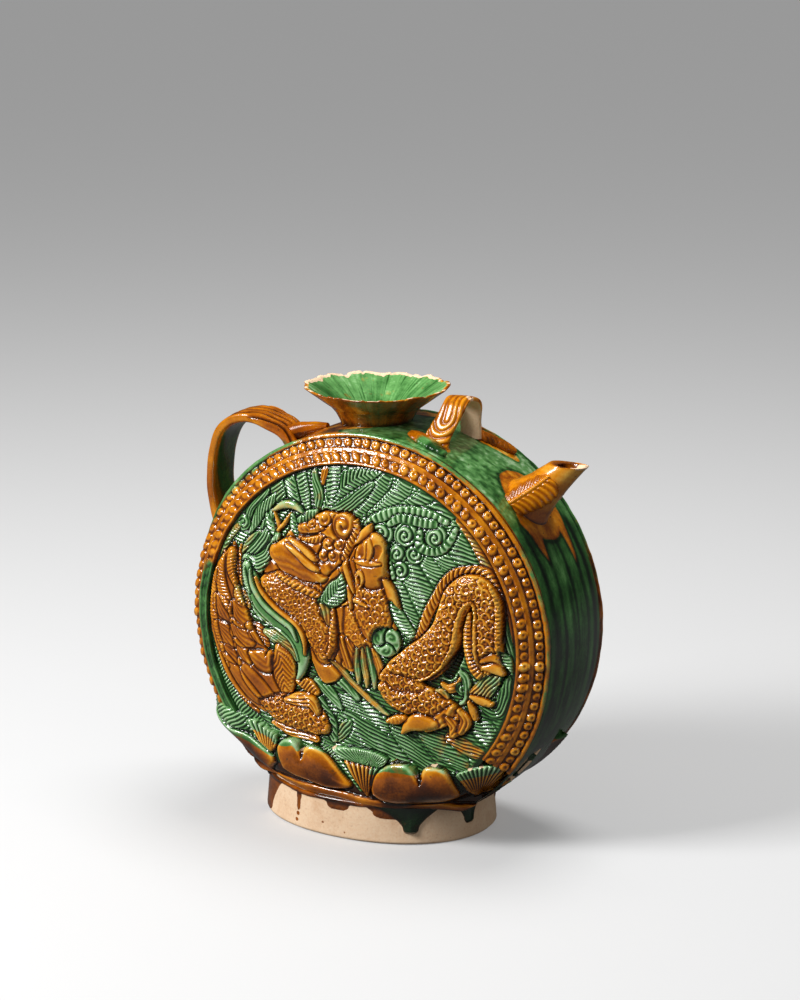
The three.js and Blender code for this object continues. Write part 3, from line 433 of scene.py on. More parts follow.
# Each stroke of the modelling tool, as it was traced on the smooth dome: how it is laid, amber share,
# level over the ground, crown of its middle, texture, depth and pitch of the texture, its turn, and
# its line (x, z, half width).
TRACED_STROKES = [
    # Waves, upper right.
    ("over", 0, 0.2, 0.5, "lines", 0.8, 1.75, -22, [(2, 166, 3), (10, 174, 5), (14, 185, 5)]),
    ("over", 0, 0.2, 0.6, "lines", 0.8, 1.8, -20, [(10, 165, 3), (20, 172, 5.5), (26, 184, 4)]),
    ("over", 0, 0.2, 0.6, "lines", 0.8, 1.8, -18, [(22, 168, 3), (31, 172, 5), (38, 180, 4)]),
    ("over", 0.15, 0.2, 0.6, "lines", 0.8, 1.8, -16, [(34, 169, 3), (43, 170, 5), (50, 172, 4)]),
    ("over", 0, 0.2, 0.6, "lines", 0.85, 1.75, -9, [(19, 139, 4), (27, 124, 6.5), (34, 110, 6)]),
    ("over", 0, 0.2, 0.6, "lines", 0.85, 1.75, -10, [(24, 151, 4), (35, 135, 6), (42, 122, 6)]),
    ("over", 0, 0.2, 0.7, "lines", 0.85, 1.75, -11, [(34, 153, 4), (43, 144, 6), (52, 128, 6)]),
    ("over", 0, 0.2, 0.7, "lines", 0.85, 1.75, -11, [(43, 154, 4), (52, 147, 5.5), (60, 140, 5)]),
    ("over", 0, 0.2, 0.7, "lines", 0.85, 1.8, -12, [(51, 159, 4), (59, 151, 5.5), (68, 141, 5)]),
    ("over", 0.6, 0.2, 0.8, "lines", 0.85, 1.8, -14, [(55, 168, 2.5), (63, 160, 4), (70, 150, 4.5),
        (76, 140, 3.5)]),
    ("over", 0.8, 0.2, 0.8, "hair", 0.7, 1.5, 0, [(78, 138, 2), (81, 126, 2.2), (83, 112, 2)]),
    ("over", 0, 0.3, 0.8, "hair", 0.8, 1.6, 0, [(79, 124, 1), (80, 114, 2.6), (82, 104, 2.4), (83, 97, 1)]),
    # Curls.
    ("curl", 0, 0.6, 1.2, "", 0.9, 0, 2.2, [(14.5, 157.5, 6)]),
    ("curl", 0, 0.7, 1.4, "", 1, 0, 2.4, [(27.5, 157.5, 6.3)]),
    ("curl", 0, 0.7, 1.4, "", 1, 0, 2.2, [(43, 158, 5.6)]),
    ("curl", 0, 0.5, 1.2, "", 0.9, 0, 2, [(24, 148.5, 4.8)]),
    ("curl", 0, 0.5, 1, "", 0.9, 0, 1.8, [(33, 149, 4.6)]),
    ("curl", 0, 0.1, 0.8, "", 0.9, 0, 1.8, [(26, 141, 5)]),
    ("over", 0, 0.5, 0.9, "across", 0.7, 3, 0, [(6, 160, 1.2), (11, 164, 2.2), (19, 167.5, 2.6),
        (29, 169.5, 2.4), (39, 169, 2.2), (48, 166, 1.6)]),
    ("over", 0, 0.5, 0.9, "across", 0.7, 2.8, 0, [(19, 163, 1.5), (25, 165.5, 2.2), (34, 165, 2.4),
        (42, 164.5, 2)]),
    ("over", 0, 0.5, 0.9, "across", 0.7, 2.8, 0, [(35, 160, 1.5), (35, 154, 2.2), (40, 151.5, 2.2),
        (47, 153, 2), (51, 158, 1.8), (53, 163, 1.2)]),
    ("over", 0, 0.5, 0.8, "across", 0.7, 2.6, 0, [(18, 152, 1.5), (19.5, 145, 1.8), (22, 138, 1.5)]),
    # Feather fan, top.
    ("over", 0, 0.3, 0.9, "herring", 0.9, 1.8, 35, [(-19, 163, 1.5), (-13, 171, 5), (-6, 178, 6),
        (3, 184, 4.5), (12, 187, 1.5)]),
    ("over", 0, 0.3, 0.9, "lines", 0.9, 1.8, 12, [(-13, 173, 2.5), (-13, 180, 4), (-12.5, 187.5, 3)]),
    ("over", 0, 0.3, 0.8, "hair", 0.8, 1.5, 0, [(-17, 163, 1), (-8, 167, 3.2), (1, 173, 3.5),
        (8, 180, 1.5)]),
    ("over", 0.75, 0.3, 0.8, "hair", 0.6, 1.5, 0, [(-18.5, 178, 1.2), (-18, 183, 1.8), (-18, 187, 1)]),
    ("over", 0.3, 0.4, 1, "hair", 0.8, 1.6, 0, [(-21, 164, 1), (-20.5, 172, 2.8), (-23, 180, 1.9),
        (-23.5, 186, 0.8)]),
    ("over", 0.1, 0.4, 1.1, "lines", 0.9, 1.7, 24, [(-26, 164.5, 1.6), (-28.5, 172, 3), (-31, 180, 2.8),
        (-32, 185.5, 1.2)]),
    ("over", 0.25, 0.4, 1.1, "lines", 0.9, 1.8, -28, [(-34, 167, 2.6), (-36.5, 172, 3.6), (-38, 178, 2.8),
        (-38.5, 181, 1)]),
    ("over", 0.3, 0.4, 1, "lines", 0.9, 1.8, 48, [(-42, 165, 2), (-44, 170, 4), (-46, 176, 3),
        (-46, 179, 1)]),
    # Leaf blades, upper left.
    ("over", 0, 0.3, 0.9, "hair", 0.8, 1.4, 0, [(-68, 152, 0.8), (-64, 160, 1.8), (-57, 167, 2),
        (-51, 171, 0.8)]),
    ("over", 0, 0.3, 1, "hair", 0.8, 1.4, 0, [(-62, 152, 1), (-60, 160, 2.5), (-54, 166, 2.8),
        (-50, 170, 1)]),
    ("over", 0, 0.4, 1.1, "slant", 0.8, 1.5, 60, [(-59, 149, 1), (-55, 157, 3), (-50, 163, 3),
        (-46, 168, 1)]),
    ("over", 0, 0.4, 1, "slant", 0.8, 1.5, 60, [(-54, 149, 0.8), (-50, 154, 2.2), (-47, 159, 1.8),
        (-45, 163, 0.8)]),
    ("curl", 0, 0.4, 1, "", 0.8, 0, 1.8, [(-64, 152.5, 4)]),
    # Strands down the left edge.
    ("over", 0, 0.2, 0.7, "hair", 0.7, 1.3, 0, [(-85, 104, 1), (-83.5, 122, 2.4), (-78, 138, 2.6),
        (-70, 150, 2.2), (-66, 156, 1)]),
    ("over", 0.4, 0.3, 0.8, "herring", 0.7, 1.6, 40, [(-78, 132, 1), (-74, 142, 2.2), (-69, 148, 2),
        (-65, 152, 1)]),
    # Green waves below.
    ("over", 0, 0.1, 0.6, "lines", 0.9, 1.8, -4, [(-9, 68, 6), (4, 68, 8), (16, 62, 5)]),
    ("over", 0, 0.1, 0.6, "lines", 0.9, 1.8, -17, [(-3, 60, 6), (8, 54, 8), (24, 46, 6)]),
    ("over", 0, 0.2, 0.8, "lines", 0.9, 1.8, -22, [(21, 64, 2), (26, 58, 4.5), (33, 50, 5.5), (40, 44, 4)]),
    ("over", 0.35, 0.2, 0.8, "lines", 0.9, 1.8, -12, [(38, 60, 3), (48, 54, 6), (56, 48, 5)]),
    ("over", 0.55, 0.2, 0.8, "lines", 0.9, 1.8, -10, [(52, 60, 3), (60, 56, 4), (66, 54, 3)]),
    ("over", 0.1, 0.2, 0.7, "lines", 0.9, 1.8, 3, [(62, 70, 3), (69, 66, 6), (72, 60, 4)]),
    ("over", 0.1, 0.2, 0.7, "hair", 0.7, 1.6, 0, [(68, 78, 1.5), (76, 76, 3.5), (80, 86, 3.5),
        (81, 94, 1.5)]),
    ("over", 0, 0.2, 0.7, "lines", 0.7, 1.7, 40, [(-82, 84, 1), (-78, 72, 3.5), (-70, 61, 4.5),
        (-60, 52, 4.5), (-52, 48, 2.5)]),
    ("over", 0.35, 0.3, 0.8, "lines", 0.9, 1.7, 45, [(-9, 50, 1.5), (-5, 56, 3.2), (-2, 60, 1.5)]),
    ("over", 0, 0.4, 1.1, "slant", 0.9, 1.8, 65, [(-19, 72, 1.5), (-17, 65, 3.4), (-13, 57, 3.4),
        (-11, 50, 2)]),
    ("over", 0.1, 0.5, 1.2, "hair", 0.6, 1.7, 0, [(-20, 80, 1), (-15, 76.5, 2.8), (-10, 71, 2.6),
        (-6, 67, 1)]),
    ("over", 0.05, 0.6, 1.3, "hair", 0.6, 1.8, 0, [(-11.5, 87, 1.4), (-8, 83, 3.2), (-2, 79, 3.2),
        (4, 74, 1.4)]),
    # Wing.
    ("over", 1, 1, 1.6, "", 0.4, 1, 0, [(-71, 136, 3), (-76, 122, 8), (-74, 106, 11.5), (-69, 91, 14),
        (-61, 77, 15), (-52, 67, 11), (-44, 60, 6)]),
    ("on", 1, 0, 0.6, "slant", 0.45, 1.6, 15, [(-80, 127, 1), (-82.5, 112, 2.2), (-81, 98, 2.4),
        (-77, 85, 1.6), (-73, 77, 0.6)]),
    ("on", 1, 0, 0.9, "slant", 0.45, 1.6, 20, [(-75, 136, 1), (-78, 127, 2.6), (-77, 118, 3.2),
        (-73, 110, 2.6), (-70.5, 106, 0.8)]),
    ("on", 1, 0, 0.9, "slant", 0.45, 1.6, -20, [(-69, 141, 1), (-70.5, 134, 2.8), (-70, 127, 3.2),
        (-68, 120.5, 0.8)]),
    ("on", 0.8, 0, 0.6, "hair", 0.39, 1.3, 0, [(-64.5, 141, 0.8), (-66, 133, 1.5), (-65.5, 126, 1.5),
        (-64, 121, 0.6)]),
    ("on", 0.6, 0, 0.7, "slant", 0.52, 1.5, 20, [(-67, 120, 1), (-65, 115.5, 3.6), (-60, 112, 2.4)]),
    ("on", 1, 0, 0.7, "fan", 0.36, 1.7, 0, [(-80, 112, 2), (-76, 107, 5.4), (-71, 102, 2)]),
    ("on", 1, 0, 0.7, "fan", 0.36, 1.7, 0, [(-69, 111, 2), (-65.5, 105, 5.2), (-58, 101, 2)]),
    ("on", 1, 0, 0.7, "fan", 0.36, 1.7, 0, [(-80, 98, 2), (-75.5, 94, 5.4), (-70, 89, 2)]),
    ("on", 1, 0, 0.7, "fan", 0.36, 1.7, 0, [(-69, 101, 2), (-65, 95, 5.2), (-58, 92, 2)]),
    ("on", 1, 0, 0.7, "fan", 0.36, 1.7, 0, [(-59, 101, 2), (-54, 98, 4.5), (-49, 93, 2)]),
    ("on", 1, 0, 0.6, "fan", 0.36, 1.7, 0, [(-77, 87, 1.5), (-72, 84, 4), (-66, 80, 1.5)]),
    ("on", 1, 0, 0.6, "fan", 0.33, 1.7, 0, [(-68, 92, 1.5), (-64, 86, 3.6), (-60, 82, 1.5)]),
    ("on", 1, 0, 0.9, "hair", 0.13, 3, 0, [(-75, 83, 1), (-69, 75, 3.6), (-60, 66, 4.2), (-52, 61, 2)]),
    ("on", 1, 0, 0.9, "hair", 0.13, 3, 0, [(-66, 82, 1), (-60, 74, 4.2), (-52, 67, 4.4), (-45, 63, 2)]),
    ("on", 1, 0, 0.6, "hair", 0.2, 2, 0, [(-79, 83, 1), (-73, 71, 1.6), (-64, 61, 1.8), (-56, 56, 1)]),
    ("over", 1, 2, 1.4, "hair", 0.25, 2.6, 0, [(-59, 87, 1.5), (-54, 84, 4.8), (-49, 82, 4.2),
        (-47, 88, 1.8)]),
    # Haunch and hind foot, lower left.
    ("over", 0.45, 1.2, 1.2, "hair", 0.7, 1.6, 0, [(-49, 99, 1.5), (-42, 97, 4), (-35, 93, 3.2),
        (-31, 88, 1.5)]),
    ("over", 1, 1.4, 1.8, "herring", 0.6, 1.9, 50, [(-42, 92, 2), (-40, 86, 6), (-39, 78, 6.4),
        (-38, 71, 3.5)]),
    ("over", 1, 1.2, 2.6, "scales", 1.1, 4.6, 0, [(-52, 62, 2.5), (-44, 60, 7.5), (-33, 59, 9.5),
        (-23, 57.5, 8), (-17, 55, 3.5)]),
    ("over", 1, 2.6, 1.6, "hair", 0.9, 1.9, 0, [(-38, 65.5, 1.5), (-31, 67, 3.6), (-24, 67.5, 3.4),
        (-20, 63, 1.5)]),
    ("over", 1, 1.4, 1, "slant", 0.8, 1.7, 20, [(-30, 77, 2), (-25, 76, 3.6), (-20, 74, 2)]),
    ("over", 1, 0.8, 1, "hair", 0.8, 2, 0, [(-47, 52, 1), (-40, 49.5, 2.2), (-32, 48, 2.4), (-22, 48, 2)]),
    # Mane tuft.
    ("over", 0.4, 0.6, 1, "hair", 0.7, 1.6, 0, [(-63, 138, 1), (-60, 141, 3), (-56, 145, 3.4),
        (-53, 149, 1)]),
    ("over", 0, 0.6, 1.4, "hair", 0.8, 1.7, 0, [(-49, 150, 2), (-52, 144, 4), (-57, 139, 3),
        (-61, 137, 1)]),
    ("over", 0, 1, 2.2, "hair", 0.9, 1.7, 0, [(-61.5, 135, 2), (-55, 132.5, 4.6), (-48.5, 136, 5.2),
        (-45, 142, 4), (-43, 149, 1.6)]),
    # Chest and neck.
    ("patch", 1, 1.5, 0.9, "lumps", 0.5, 6, 0, BODY_OUTLINE),
    ("over", 1, 1.8, 2.6, "scales", 0.9, 3.4, 0, [(-49, 124, 4), (-41, 122, 9.5), (-31, 119, 13),
        (-22, 112, 13), (-16.5, 102, 9.5), (-15.5, 93, 5)]),
    ("over", 1, 2, 2, "hair", 0.25, 4, 0, [(-43, 140, 5), (-36, 139, 9), (-27, 136, 8), (-18, 133, 4)]),
    ("on", 1, 0, 1.2, "", 0, 1, 0, [(-37, 145, 0.8), (-31, 141.5, 1.8), (-24, 137, 1.8), (-18, 135, 0.8)]),
    ("on", 1, 0, 1.2, "", 0, 1, 0, [(-35, 149, 0.8), (-28, 145.5, 2), (-21, 142, 1.8), (-17, 140, 0.8)]),
    ("on", 1, 0, 1.3, "slant", 1.2, 2.3, 25, [(-42, 131, 1), (-36, 127.5, 2), (-29, 125, 2),
        (-22, 123.5, 2), (-16, 122, 1)]),
    ("on", 1, 0, 0.8, "slant", 0.9, 1.9, 30, [(-10, 118, 1.2), (-9, 110, 1.8), (-9, 101, 1.8),
        (-12, 94, 1.2)]),
    # S-shaped strap.
    ("over", 0, 1.6, 2, "", 0.9, 2.6, 0, [(-61, 131, 3), (-58.5, 124, 4.6), (-54, 115.5, 5.6),
        (-46.5, 109.5, 5.8), (-38.5, 105.5, 5.6), (-31.5, 100.5, 5.4), (-28, 92, 4.2), (-28.5, 84, 2.6),
        (-30, 79, 1)]),
    ("on", 0.1, 0, 1, "slant", 0.5, 1.5, 0, [(-62, 130, 0.8), (-61.5, 124, 1.8), (-59, 118, 1)]),
    ("on", 0.3, 0, 1.2, "", 0, 1, 0, [(-58, 130, 0.6), (-57, 121, 1.4), (-51, 113, 1.5), (-42, 108, 1.5),
        (-34, 104, 1.3), (-30, 98, 0.6)]),
    ("on", 0.9, 0, 1.3, "", 0, 1, 0, [(-54, 127, 0.5), (-51, 119, 1.2), (-44, 113.5, 1.4),
        (-36, 109.5, 1.6), (-29, 105, 1.6), (-25.5, 98, 1), (-25, 92, 0.5)]),
    ("on", 0.3, 0, 1, "", 0, 1, 0, [(-60, 118, 0.6), (-56, 109, 1), (-48, 104, 1), (-39, 100.5, 1),
        (-33, 95, 1), (-30, 88, 0.6)]),
    # Lower arm.
    ("over", 1, 1.2, 2.2, "scales", 0.6, 4.4, 0, [(1, 118, 5), (4, 111, 8), (5, 103, 8), (3, 96, 5),
        (-2, 91, 3)]),
    ("over", 1, 1, 1.2, "hair", 0.6, 2, 0, [(-4, 104, 2), (-2, 97, 4), (0, 90, 3)]),
    # Forearm and paw.
    ("over", 1, 2.2, 2.4, "scales", 0.8, 5, 0, [(12, 138, 6), (10, 128, 9.5), (11, 119, 10.5),
        (13, 111, 8)]),
    ("over", 1, 2.4, 2.6, "", 0, 1, 0, [(9, 149, 7.5), (9, 143, 8), (10, 136, 7)]),
    ("on", 1, 0, 1, "", 0, 1, 0, [(1, 143.5, 0.6), (8, 142, 1.4), (16, 143.5, 0.6)]),
    ("pit", 1, 0, -0.9, "", 0, 1, 0, [(4.4, 150.6, 2.4), (5.2, 146.4, 2)]),
    ("pit", 1, 0, -1, "", 0, 1, 0, [(13.8, 149.8, 2.6), (12.6, 146.2, 2)]),
    ("on", 1, 0, 0.9, "", 0, 1, 0, [(8.8, 143.5, 0.8), (9.2, 148.5, 1.5), (8.6, 154, 0.8)]),
    ("on", 1, 0, 1.3, "", 0, 1, 0, [(-4, 120.5, 0.6), (2, 123, 1.4), (9, 121, 0.8)]),
    ("over", 1, 1.6, 1.8, "", 0, 1, 0, [(1, 151, 0.8), (4, 154.5, 2.4), (7.5, 158, 2.2), (9.5, 161, 0.6)]),
    ("on", 1, 0, 1.6, "", 0, 1, 0, [(4, 132, 0.6), (3, 135, 1.3), (5, 137, 1.3), (6.5, 133.5, 1),
        (5, 130, 0.5)]),
    ("over", 1, 1.6, 1.6, "", 0, 1, 0, [(18, 136, 1), (21, 130, 2.4), (25, 122, 2), (27.5, 115, 0.8)]),
    ("over", 1, 2.2, 1.6, "", 0, 1, 0, [(-5, 138, 1), (-3, 131, 2), (-0.5, 124, 1.6), (0, 119, 0.8)]),
    ("over", 1, 2.2, 1.6, "", 0, 1, 0, [(-3, 149, 0.8), (-3, 141, 1.6), (-1, 133, 1.6), (1.5, 127, 0.7)]),
    ("over", 0, 0.8, 1.3, "slant", 0.9, 1.7, 40, [(22, 125, 1.2), (26, 118, 3.2), (31, 111.5, 3),
        (36, 107, 1)]),
    ("over", 0.02, 2.4, 1.8, "herring", 1, 1.7, 40, [(-17, 120, 2), (-13, 121.5, 4.6), (-9, 125.5, 5.6),
        (-6.5, 130, 3.4), (-5, 134.5, 1)]),
    ("over", 0.5, 2, 1.6, "hair", 0.6, 2, 0, [(-17, 119, 1), (-14, 115, 3), (-12, 110, 1)]),
    # Head.
    ("over", 1, 1.8, 1.6, "lumps", 0.9, 4, 0, [(-19, 159, 4), (-13, 158, 6.5), (-7, 155, 7), (-9, 147, 6.5),
        (-13, 141, 5.5), (-15, 136, 3)]),
    ("curl", 1, 1.8, 2.2, "", 1.2, 0, 1.2, [(-6.2, 158.6, 6.2)]),
    ("over", 1, 1.6, 1.6, "lumps", 0.8, 2.6, 0, [(-31.5, 154, 1.4), (-27, 155.5, 3.2), (-22, 156.5, 3.4),
        (-18, 157, 2)]),
    ("curl", 1, 2.2, 1.6, "", 0.9, 0, 0.9, [(-17, 160.5, 3.3)]),
    ("curl", 1, 2, 1.2, "", 0.9, 0, 0.8, [(-23.5, 158, 2.3)]),
    ("pit", 1, 0, -1.4, "", 0, 1, 0, [(-29, 151.6, 0.6), (-24, 152, 1.2), (-19, 153.4, 0.8)]),
    ("over", 0.9, 1.4, 1.2, "slant", 0.8, 2, 20, [(-27, 149.6, 0.8), (-21, 150, 1.8), (-16, 151.5, 1.4)]),
    ("curl", 1, 1.9, 1.4, "", 1, 0, 1, [(-13, 148.5, 3.4)]),
    ("curl", 1, 1.8, 1.2, "", 0.9, 0, 0.8, [(-7.4, 149.5, 2.7)]),
    ("curl", 1, 1.8, 1.2, "", 0.9, 0, 0.8, [(-15.4, 142.6, 2.8)]),
    ("curl", 1, 1.8, 1.2, "", 0.9, 0, 0.8, [(-10.2, 143, 2.5)]),
    ("over", 1, 1.4, 1.4, "slant", 1.3, 2, 25, [(1.5, 162, 1), (1, 156, 2), (-1.5, 150, 2.2),
        (-4, 143, 1.4)]),
    ("over", 0.3, 1, 1.2, "slant", 0.9, 1.8, 30, [(-21, 164, 1), (-26, 161, 2.6), (-31, 158, 1.5)]),
    ("over", 0.45, 1.2, 1.4, "", 0, 1, 0, [(-46, 161, 0.8), (-41, 164, 1.9), (-35, 164.5, 2),
        (-29, 162.5, 0.8)]),
    ("over", 0.8, 0.8, 1.2, "", 0, 1, 0, [(-45, 160, 0.6), (-42.5, 154.5, 1.2), (-42, 151.5, 0.8)]),
    ("over", 0.8, 0.8, 1.2, "", 0, 1, 0, [(-36, 160.5, 0.8), (-39, 155.5, 1.2), (-42.5, 151.5, 0.8)]),
    ("over", 0.2, 0.6, 1, "slant", 0.8, 1.7, 40, [(-35, 160, 1), (-33.5, 155, 2.4), (-31, 151, 1.2)]),
    ("over", 0.05, 0.5, 1, "slant", 0.8, 1.6, 50, [(-50, 158, 0.8), (-47.5, 153, 2.2), (-45, 149.5, 1)]),
    # Tuft, strap and rosette in the middle.
    ("over", 1, 1, 1.2, "hair", 0.6, 1.9, 0, [(-1, 103, 1.5), (3, 96, 3.5), (4, 90, 2)]),
    ("over", 0.45, 0.8, 1.3, "hair", 0.5, 1.5, 0, [(4, 99, 1), (3.2, 91, 2), (4.5, 82, 0.8)]),
    ("over", 0.55, 0.8, 1.3, "hair", 0.5, 1.5, 0, [(7, 100, 1), (7.5, 91, 2.2), (9, 81, 0.8)]),
    ("over", 0.4, 0.8, 1.3, "hair", 0.5, 1.5, 0, [(9.5, 101, 1), (11.5, 92, 2.2), (13, 81, 0.8)]),
    ("over", 0.7, 0.8, 1.3, "hair", 0.5, 1.5, 0, [(12.5, 100, 1), (15, 93, 2.2), (15.5, 85, 0.8)]),
    ("over", 0.55, 0.6, 1.2, "hair", 0.5, 1.3, 0, [(-12, 91, 1), (-7, 88.5, 2), (0, 82, 1.5), (8, 76, 1.4),
        (16, 70, 1.3), (20, 68, 0.6)]),
    ("rose", 0, 1.6, 1, "", 2, 0, 0, [(19.5, 105, 7.6)]),
    # Body loop.
    ("over", 1, 0.6, 1.4, "slant", 1.1, 2.2, 40, [(32, 102, 1), (36.5, 109, 2.2), (40.5, 119, 2.4),
        (44, 129, 2.6), (50, 138.5, 2.8), (58, 143.3, 2.8), (67, 144, 2.6), (74, 140.5, 2.2),
        (78.5, 133, 1)]),
    ("pit", 0.2, 0, -2.2, "", 0, 1, 0, [(61, 128, 0.8), (59.5, 115, 2.4), (57, 103, 3.2), (53, 94, 3.4)]),
    ("over", 1, 2.2, 3, "scales", 1.2, 5, 0, [(19, 87, 4), (27, 91, 7.5), (36, 96.5, 9), (44, 104, 8.6),
        (49.5, 113, 7.6), (51.5, 122, 7.2), (54, 130, 7.4), (61, 135, 6.8), (67.5, 131.5, 7.2),
        (69.5, 122, 7.4), (69.5, 112, 7.8), (70.5, 103, 7.6), (73, 97, 4.5)]),
    ("on", 1, 0, 1.3, "", 0, 1, 0, [(34, 87, 0.6), (42, 89.5, 1.3), (49, 95.5, 1.5), (54, 104, 1.5),
        (56, 115, 1.4), (57.5, 125, 1.1), (61, 128.8, 1.1), (64, 125, 1), (64.5, 114, 1), (65, 104, 1),
        (68.5, 97, 0.6)]),
    ("over", 0.8, 1.8, 1.2, "across", 1, 2, 0, [(61.8, 124, 0.9), (61, 115, 2), (61.5, 105, 2.4),
        (64, 97, 2.6), (69, 92.5, 2.2), (76, 91, 1)]),
    ("on", 1, 0, 1.3, "across", 1, 1.9, 0, [(73, 138, 0.9), (76, 129, 1.7), (76.8, 117, 1.8),
        (76.5, 106, 1.2)]),
    # Lower mass, foot and claws.
    ("over", 1, 1.8, 2.6, "scales", 1.2, 5.2, 0, [(17, 82, 3), (23, 79, 7), (32, 77, 8.5), (42, 76, 7.5),
        (51, 73, 5.5), (58, 70, 3)]),
    ("over", 1, 2.4, 1.2, "scales", 1.1, 4.4, 0, [(19, 90, 2), (23, 86, 4), (29, 85, 4), (36, 84, 2.5)]),
    ("over", 1, 2.4, 1.8, "hair", 0.5, 3, 0, [(54, 76, 1.5), (50, 71, 3.4), (44, 66.5, 3.4),
        (39, 63, 1.5)]),
    ("over", 1, 2.4, 2.2, "", 0, 1, 0, [(43, 66, 2.5), (36, 66, 4.4), (31, 64, 3.6), (28, 60, 1.2)]),
    ("over", 1, 1.8, 1.6, "across", 0.6, 2.2, 0, [(28, 67, 1.6), (24, 65.5, 2.4), (20, 65, 1.2)]),
    ("over", 1, 1.8, 1.8, "hair", 0.7, 2, 0, [(50, 70, 1.5), (54, 66, 3.6), (53, 62, 2)]),
    ("over", 0.95, 1.6, 1.6, "hair", 0.7, 2, 0, [(57, 75, 1.2), (59.5, 70, 2.8), (57, 64, 1.6)]),
    ("over", 0.9, 1.2, 1.4, "hair", 0.5, 2, 0, [(49, 88, 0.8), (52, 85.5, 2.2), (57, 88, 2.2),
        (58, 92, 0.8)]),
    ("over", 0.6, 1, 1.2, "hair", 0.5, 2, 0, [(46, 84, 0.8), (49, 83, 1.8), (52, 81, 0.8)]),
    ("curl", 0.2, 0.6, 1, "", 0.8, 0, 1.6, [(59, 86.5, 3.8)]),
    ("over", 0.15, 0.8, 1, "hair", 0.7, 1.6, 0, [(58, 95, 1), (60.5, 91, 2), (61, 82, 1.6), (58, 79, 0.8)]),
    ("over", 0.45, 0.8, 1.2, "hair", 0.9, 1.7, 0, [(76, 96, 1.5), (71, 89, 4.4), (66, 84, 4.4),
        (63, 80, 2)]),
    ("over", 1, 2.2, 1.6, "", 0, 1, 0, [(68, 101, 1.5), (73, 103, 3), (77, 101, 2.2)]),
    ("over", 1, 2.2, 1.6, "", 0, 1, 0, [(69, 98, 1.5), (74, 98, 2.8), (78, 96.5, 1.5)]),
    ("over", 1, 1.4, 1.4, "", 0, 1, 0, [(63, 83, 0.8), (67, 81, 2.2), (72, 80, 1.8), (74, 81, 0.8)]),
    ("over", 1, 1.4, 1.4, "", 0, 1, 0, [(62, 80, 0.8), (63.5, 76, 2), (65, 72.5, 1.6)]),
    ("over", 0.3, 0.8, 1.2, "slant", 0.8, 1.6, 30, [(77, 107, 0.8), (80, 103, 2.6), (83, 99, 1.5)]),
]


def smooth_path(points, per=8):
    """A Catmull-Rom curve through rows of place and half width."""
    p = np.array(points, float).reshape(-1, 3)
    t = np.linspace(0, len(p) - 1, per * (len(p) - 1) + 1)
    i = np.clip(t.astype(int), 0, len(p) - 2)
    f = (t - i)[:, None]
    a, b, c, d = p[np.maximum(i - 1, 0)], p[i], p[i + 1], p[np.minimum(i + 2, len(p) - 1)]
    q = 0.5 * (2 * b + (c - a) * f + (2 * a - 5 * b + 4 * c - d) * f**2 + (3 * b - a - 3 * c + d) * f**3)
    q[:, 2] = np.maximum(q[:, 2], 0.3)
    return q


def along_across(x, z, path):
    """Distance along the path, signed distance across it and the half width there, for each point."""
    leg = np.diff(path[:, :2], axis=0)
    length = np.hypot(*leg.T)
    start = np.concatenate([[0], np.cumsum(length)[:-1]])
    px, pz = x[:, None] - path[:-1, 0], z[:, None] - path[:-1, 1]
    share = np.clip((px * leg[:, 0] + pz * leg[:, 1]) / length**2, 0, 1)
    dx, dz = px - share * leg[:, 0], pz - share * leg[:, 1]
    away = np.hypot(dx, dz)
    wide = path[:-1, 2] + share * np.diff(path[:, 2])
    nearest = np.argmin(away - wide * 0.35, axis=1)
    pick = (np.arange(len(x)), nearest)
    side = np.sign(leg[nearest, 0] * dz[pick] - leg[nearest, 1] * dx[pick])
    return start[nearest] + share[pick] * length[nearest], side * away[pick], wide[pick]


def ridge(phase, sharp=0.8):
    """Rounded ridges, one to a unit of phase: half of one plus a cosine, to a power under one."""
    return (0.5 + 0.5 * np.cos(2 * np.pi * phase)) ** sharp


def wobble(x, z, size):
    """A smooth random field of about unit height, a sum of ten sines in random directions."""
    return sum(np.sin((x * a + z * b) / size + c) for a, b, c in WOBBLE_WAVES) / 3.2


def chance(row, column):
    """A number from 0 to 1 for each pair of whole numbers, the fraction of a large sine."""
    return np.modf(np.abs(np.sin(row * 12.99 + column * 78.23) * 437.58))[0]


def scales(along, across, pitch):
    """Uneven round scales in staggered rows: a rim round three pits, each scale over the next."""
    row = 0.62 * pitch
    height, done = np.zeros_like(along), np.zeros(along.shape, bool)
    for back in (1, 0, -1, -2):
        k = np.floor(along / row) + back
        shift = 0.5 * (k % 2)
        column = np.round(across / pitch - shift)
        lot = chance(k, column)
        sideways = across - (column + shift + 0.3 * (lot - 0.5)) * pitch
        onward = (along - (k + 0.5 * (chance(column, k) - 0.5)) * row) * 0.95
        r = np.hypot(onward, sideways) / (row * (0.82 + 0.3 * lot))
        angle = np.arctan2(sideways, onward)
        rim = 0.45 + 0.55 * np.exp(-(((r - 0.72) / 0.24) ** 2))
        rim = rim - 0.35 * np.exp(-(((r - 0.36) / 0.17) ** 2)) * ridge((angle + 6 * lot) * 1.5 / np.pi)
        inside = (r < 1) & ~done
        height = np.where(inside, rim * step((1 - r) / 0.3), height)
        done |= inside
    return height


def inward(x, z, outline):
    """Distance of each point inside a closed outline, less than nothing outside it."""
    leg = np.roll(outline, -1, axis=0) - outline
    px, pz = x[:, None] - outline[:, 0], z[:, None] - outline[:, 1]
    share = np.clip((px * leg[:, 0] + pz * leg[:, 1]) / (leg**2).sum(axis=1), 0, 1)
    away = np.hypot(px - share * leg[:, 0], pz - share * leg[:, 1]).min(axis=1)
    up = np.sign(leg[:, 1])
    crossed = ((pz < 0) != (pz < leg[:, 1])) & (px * leg[:, 1] * up < pz * leg[:, 0] * up)
    return np.where(crossed.sum(axis=1) % 2 == 1, away, -away)


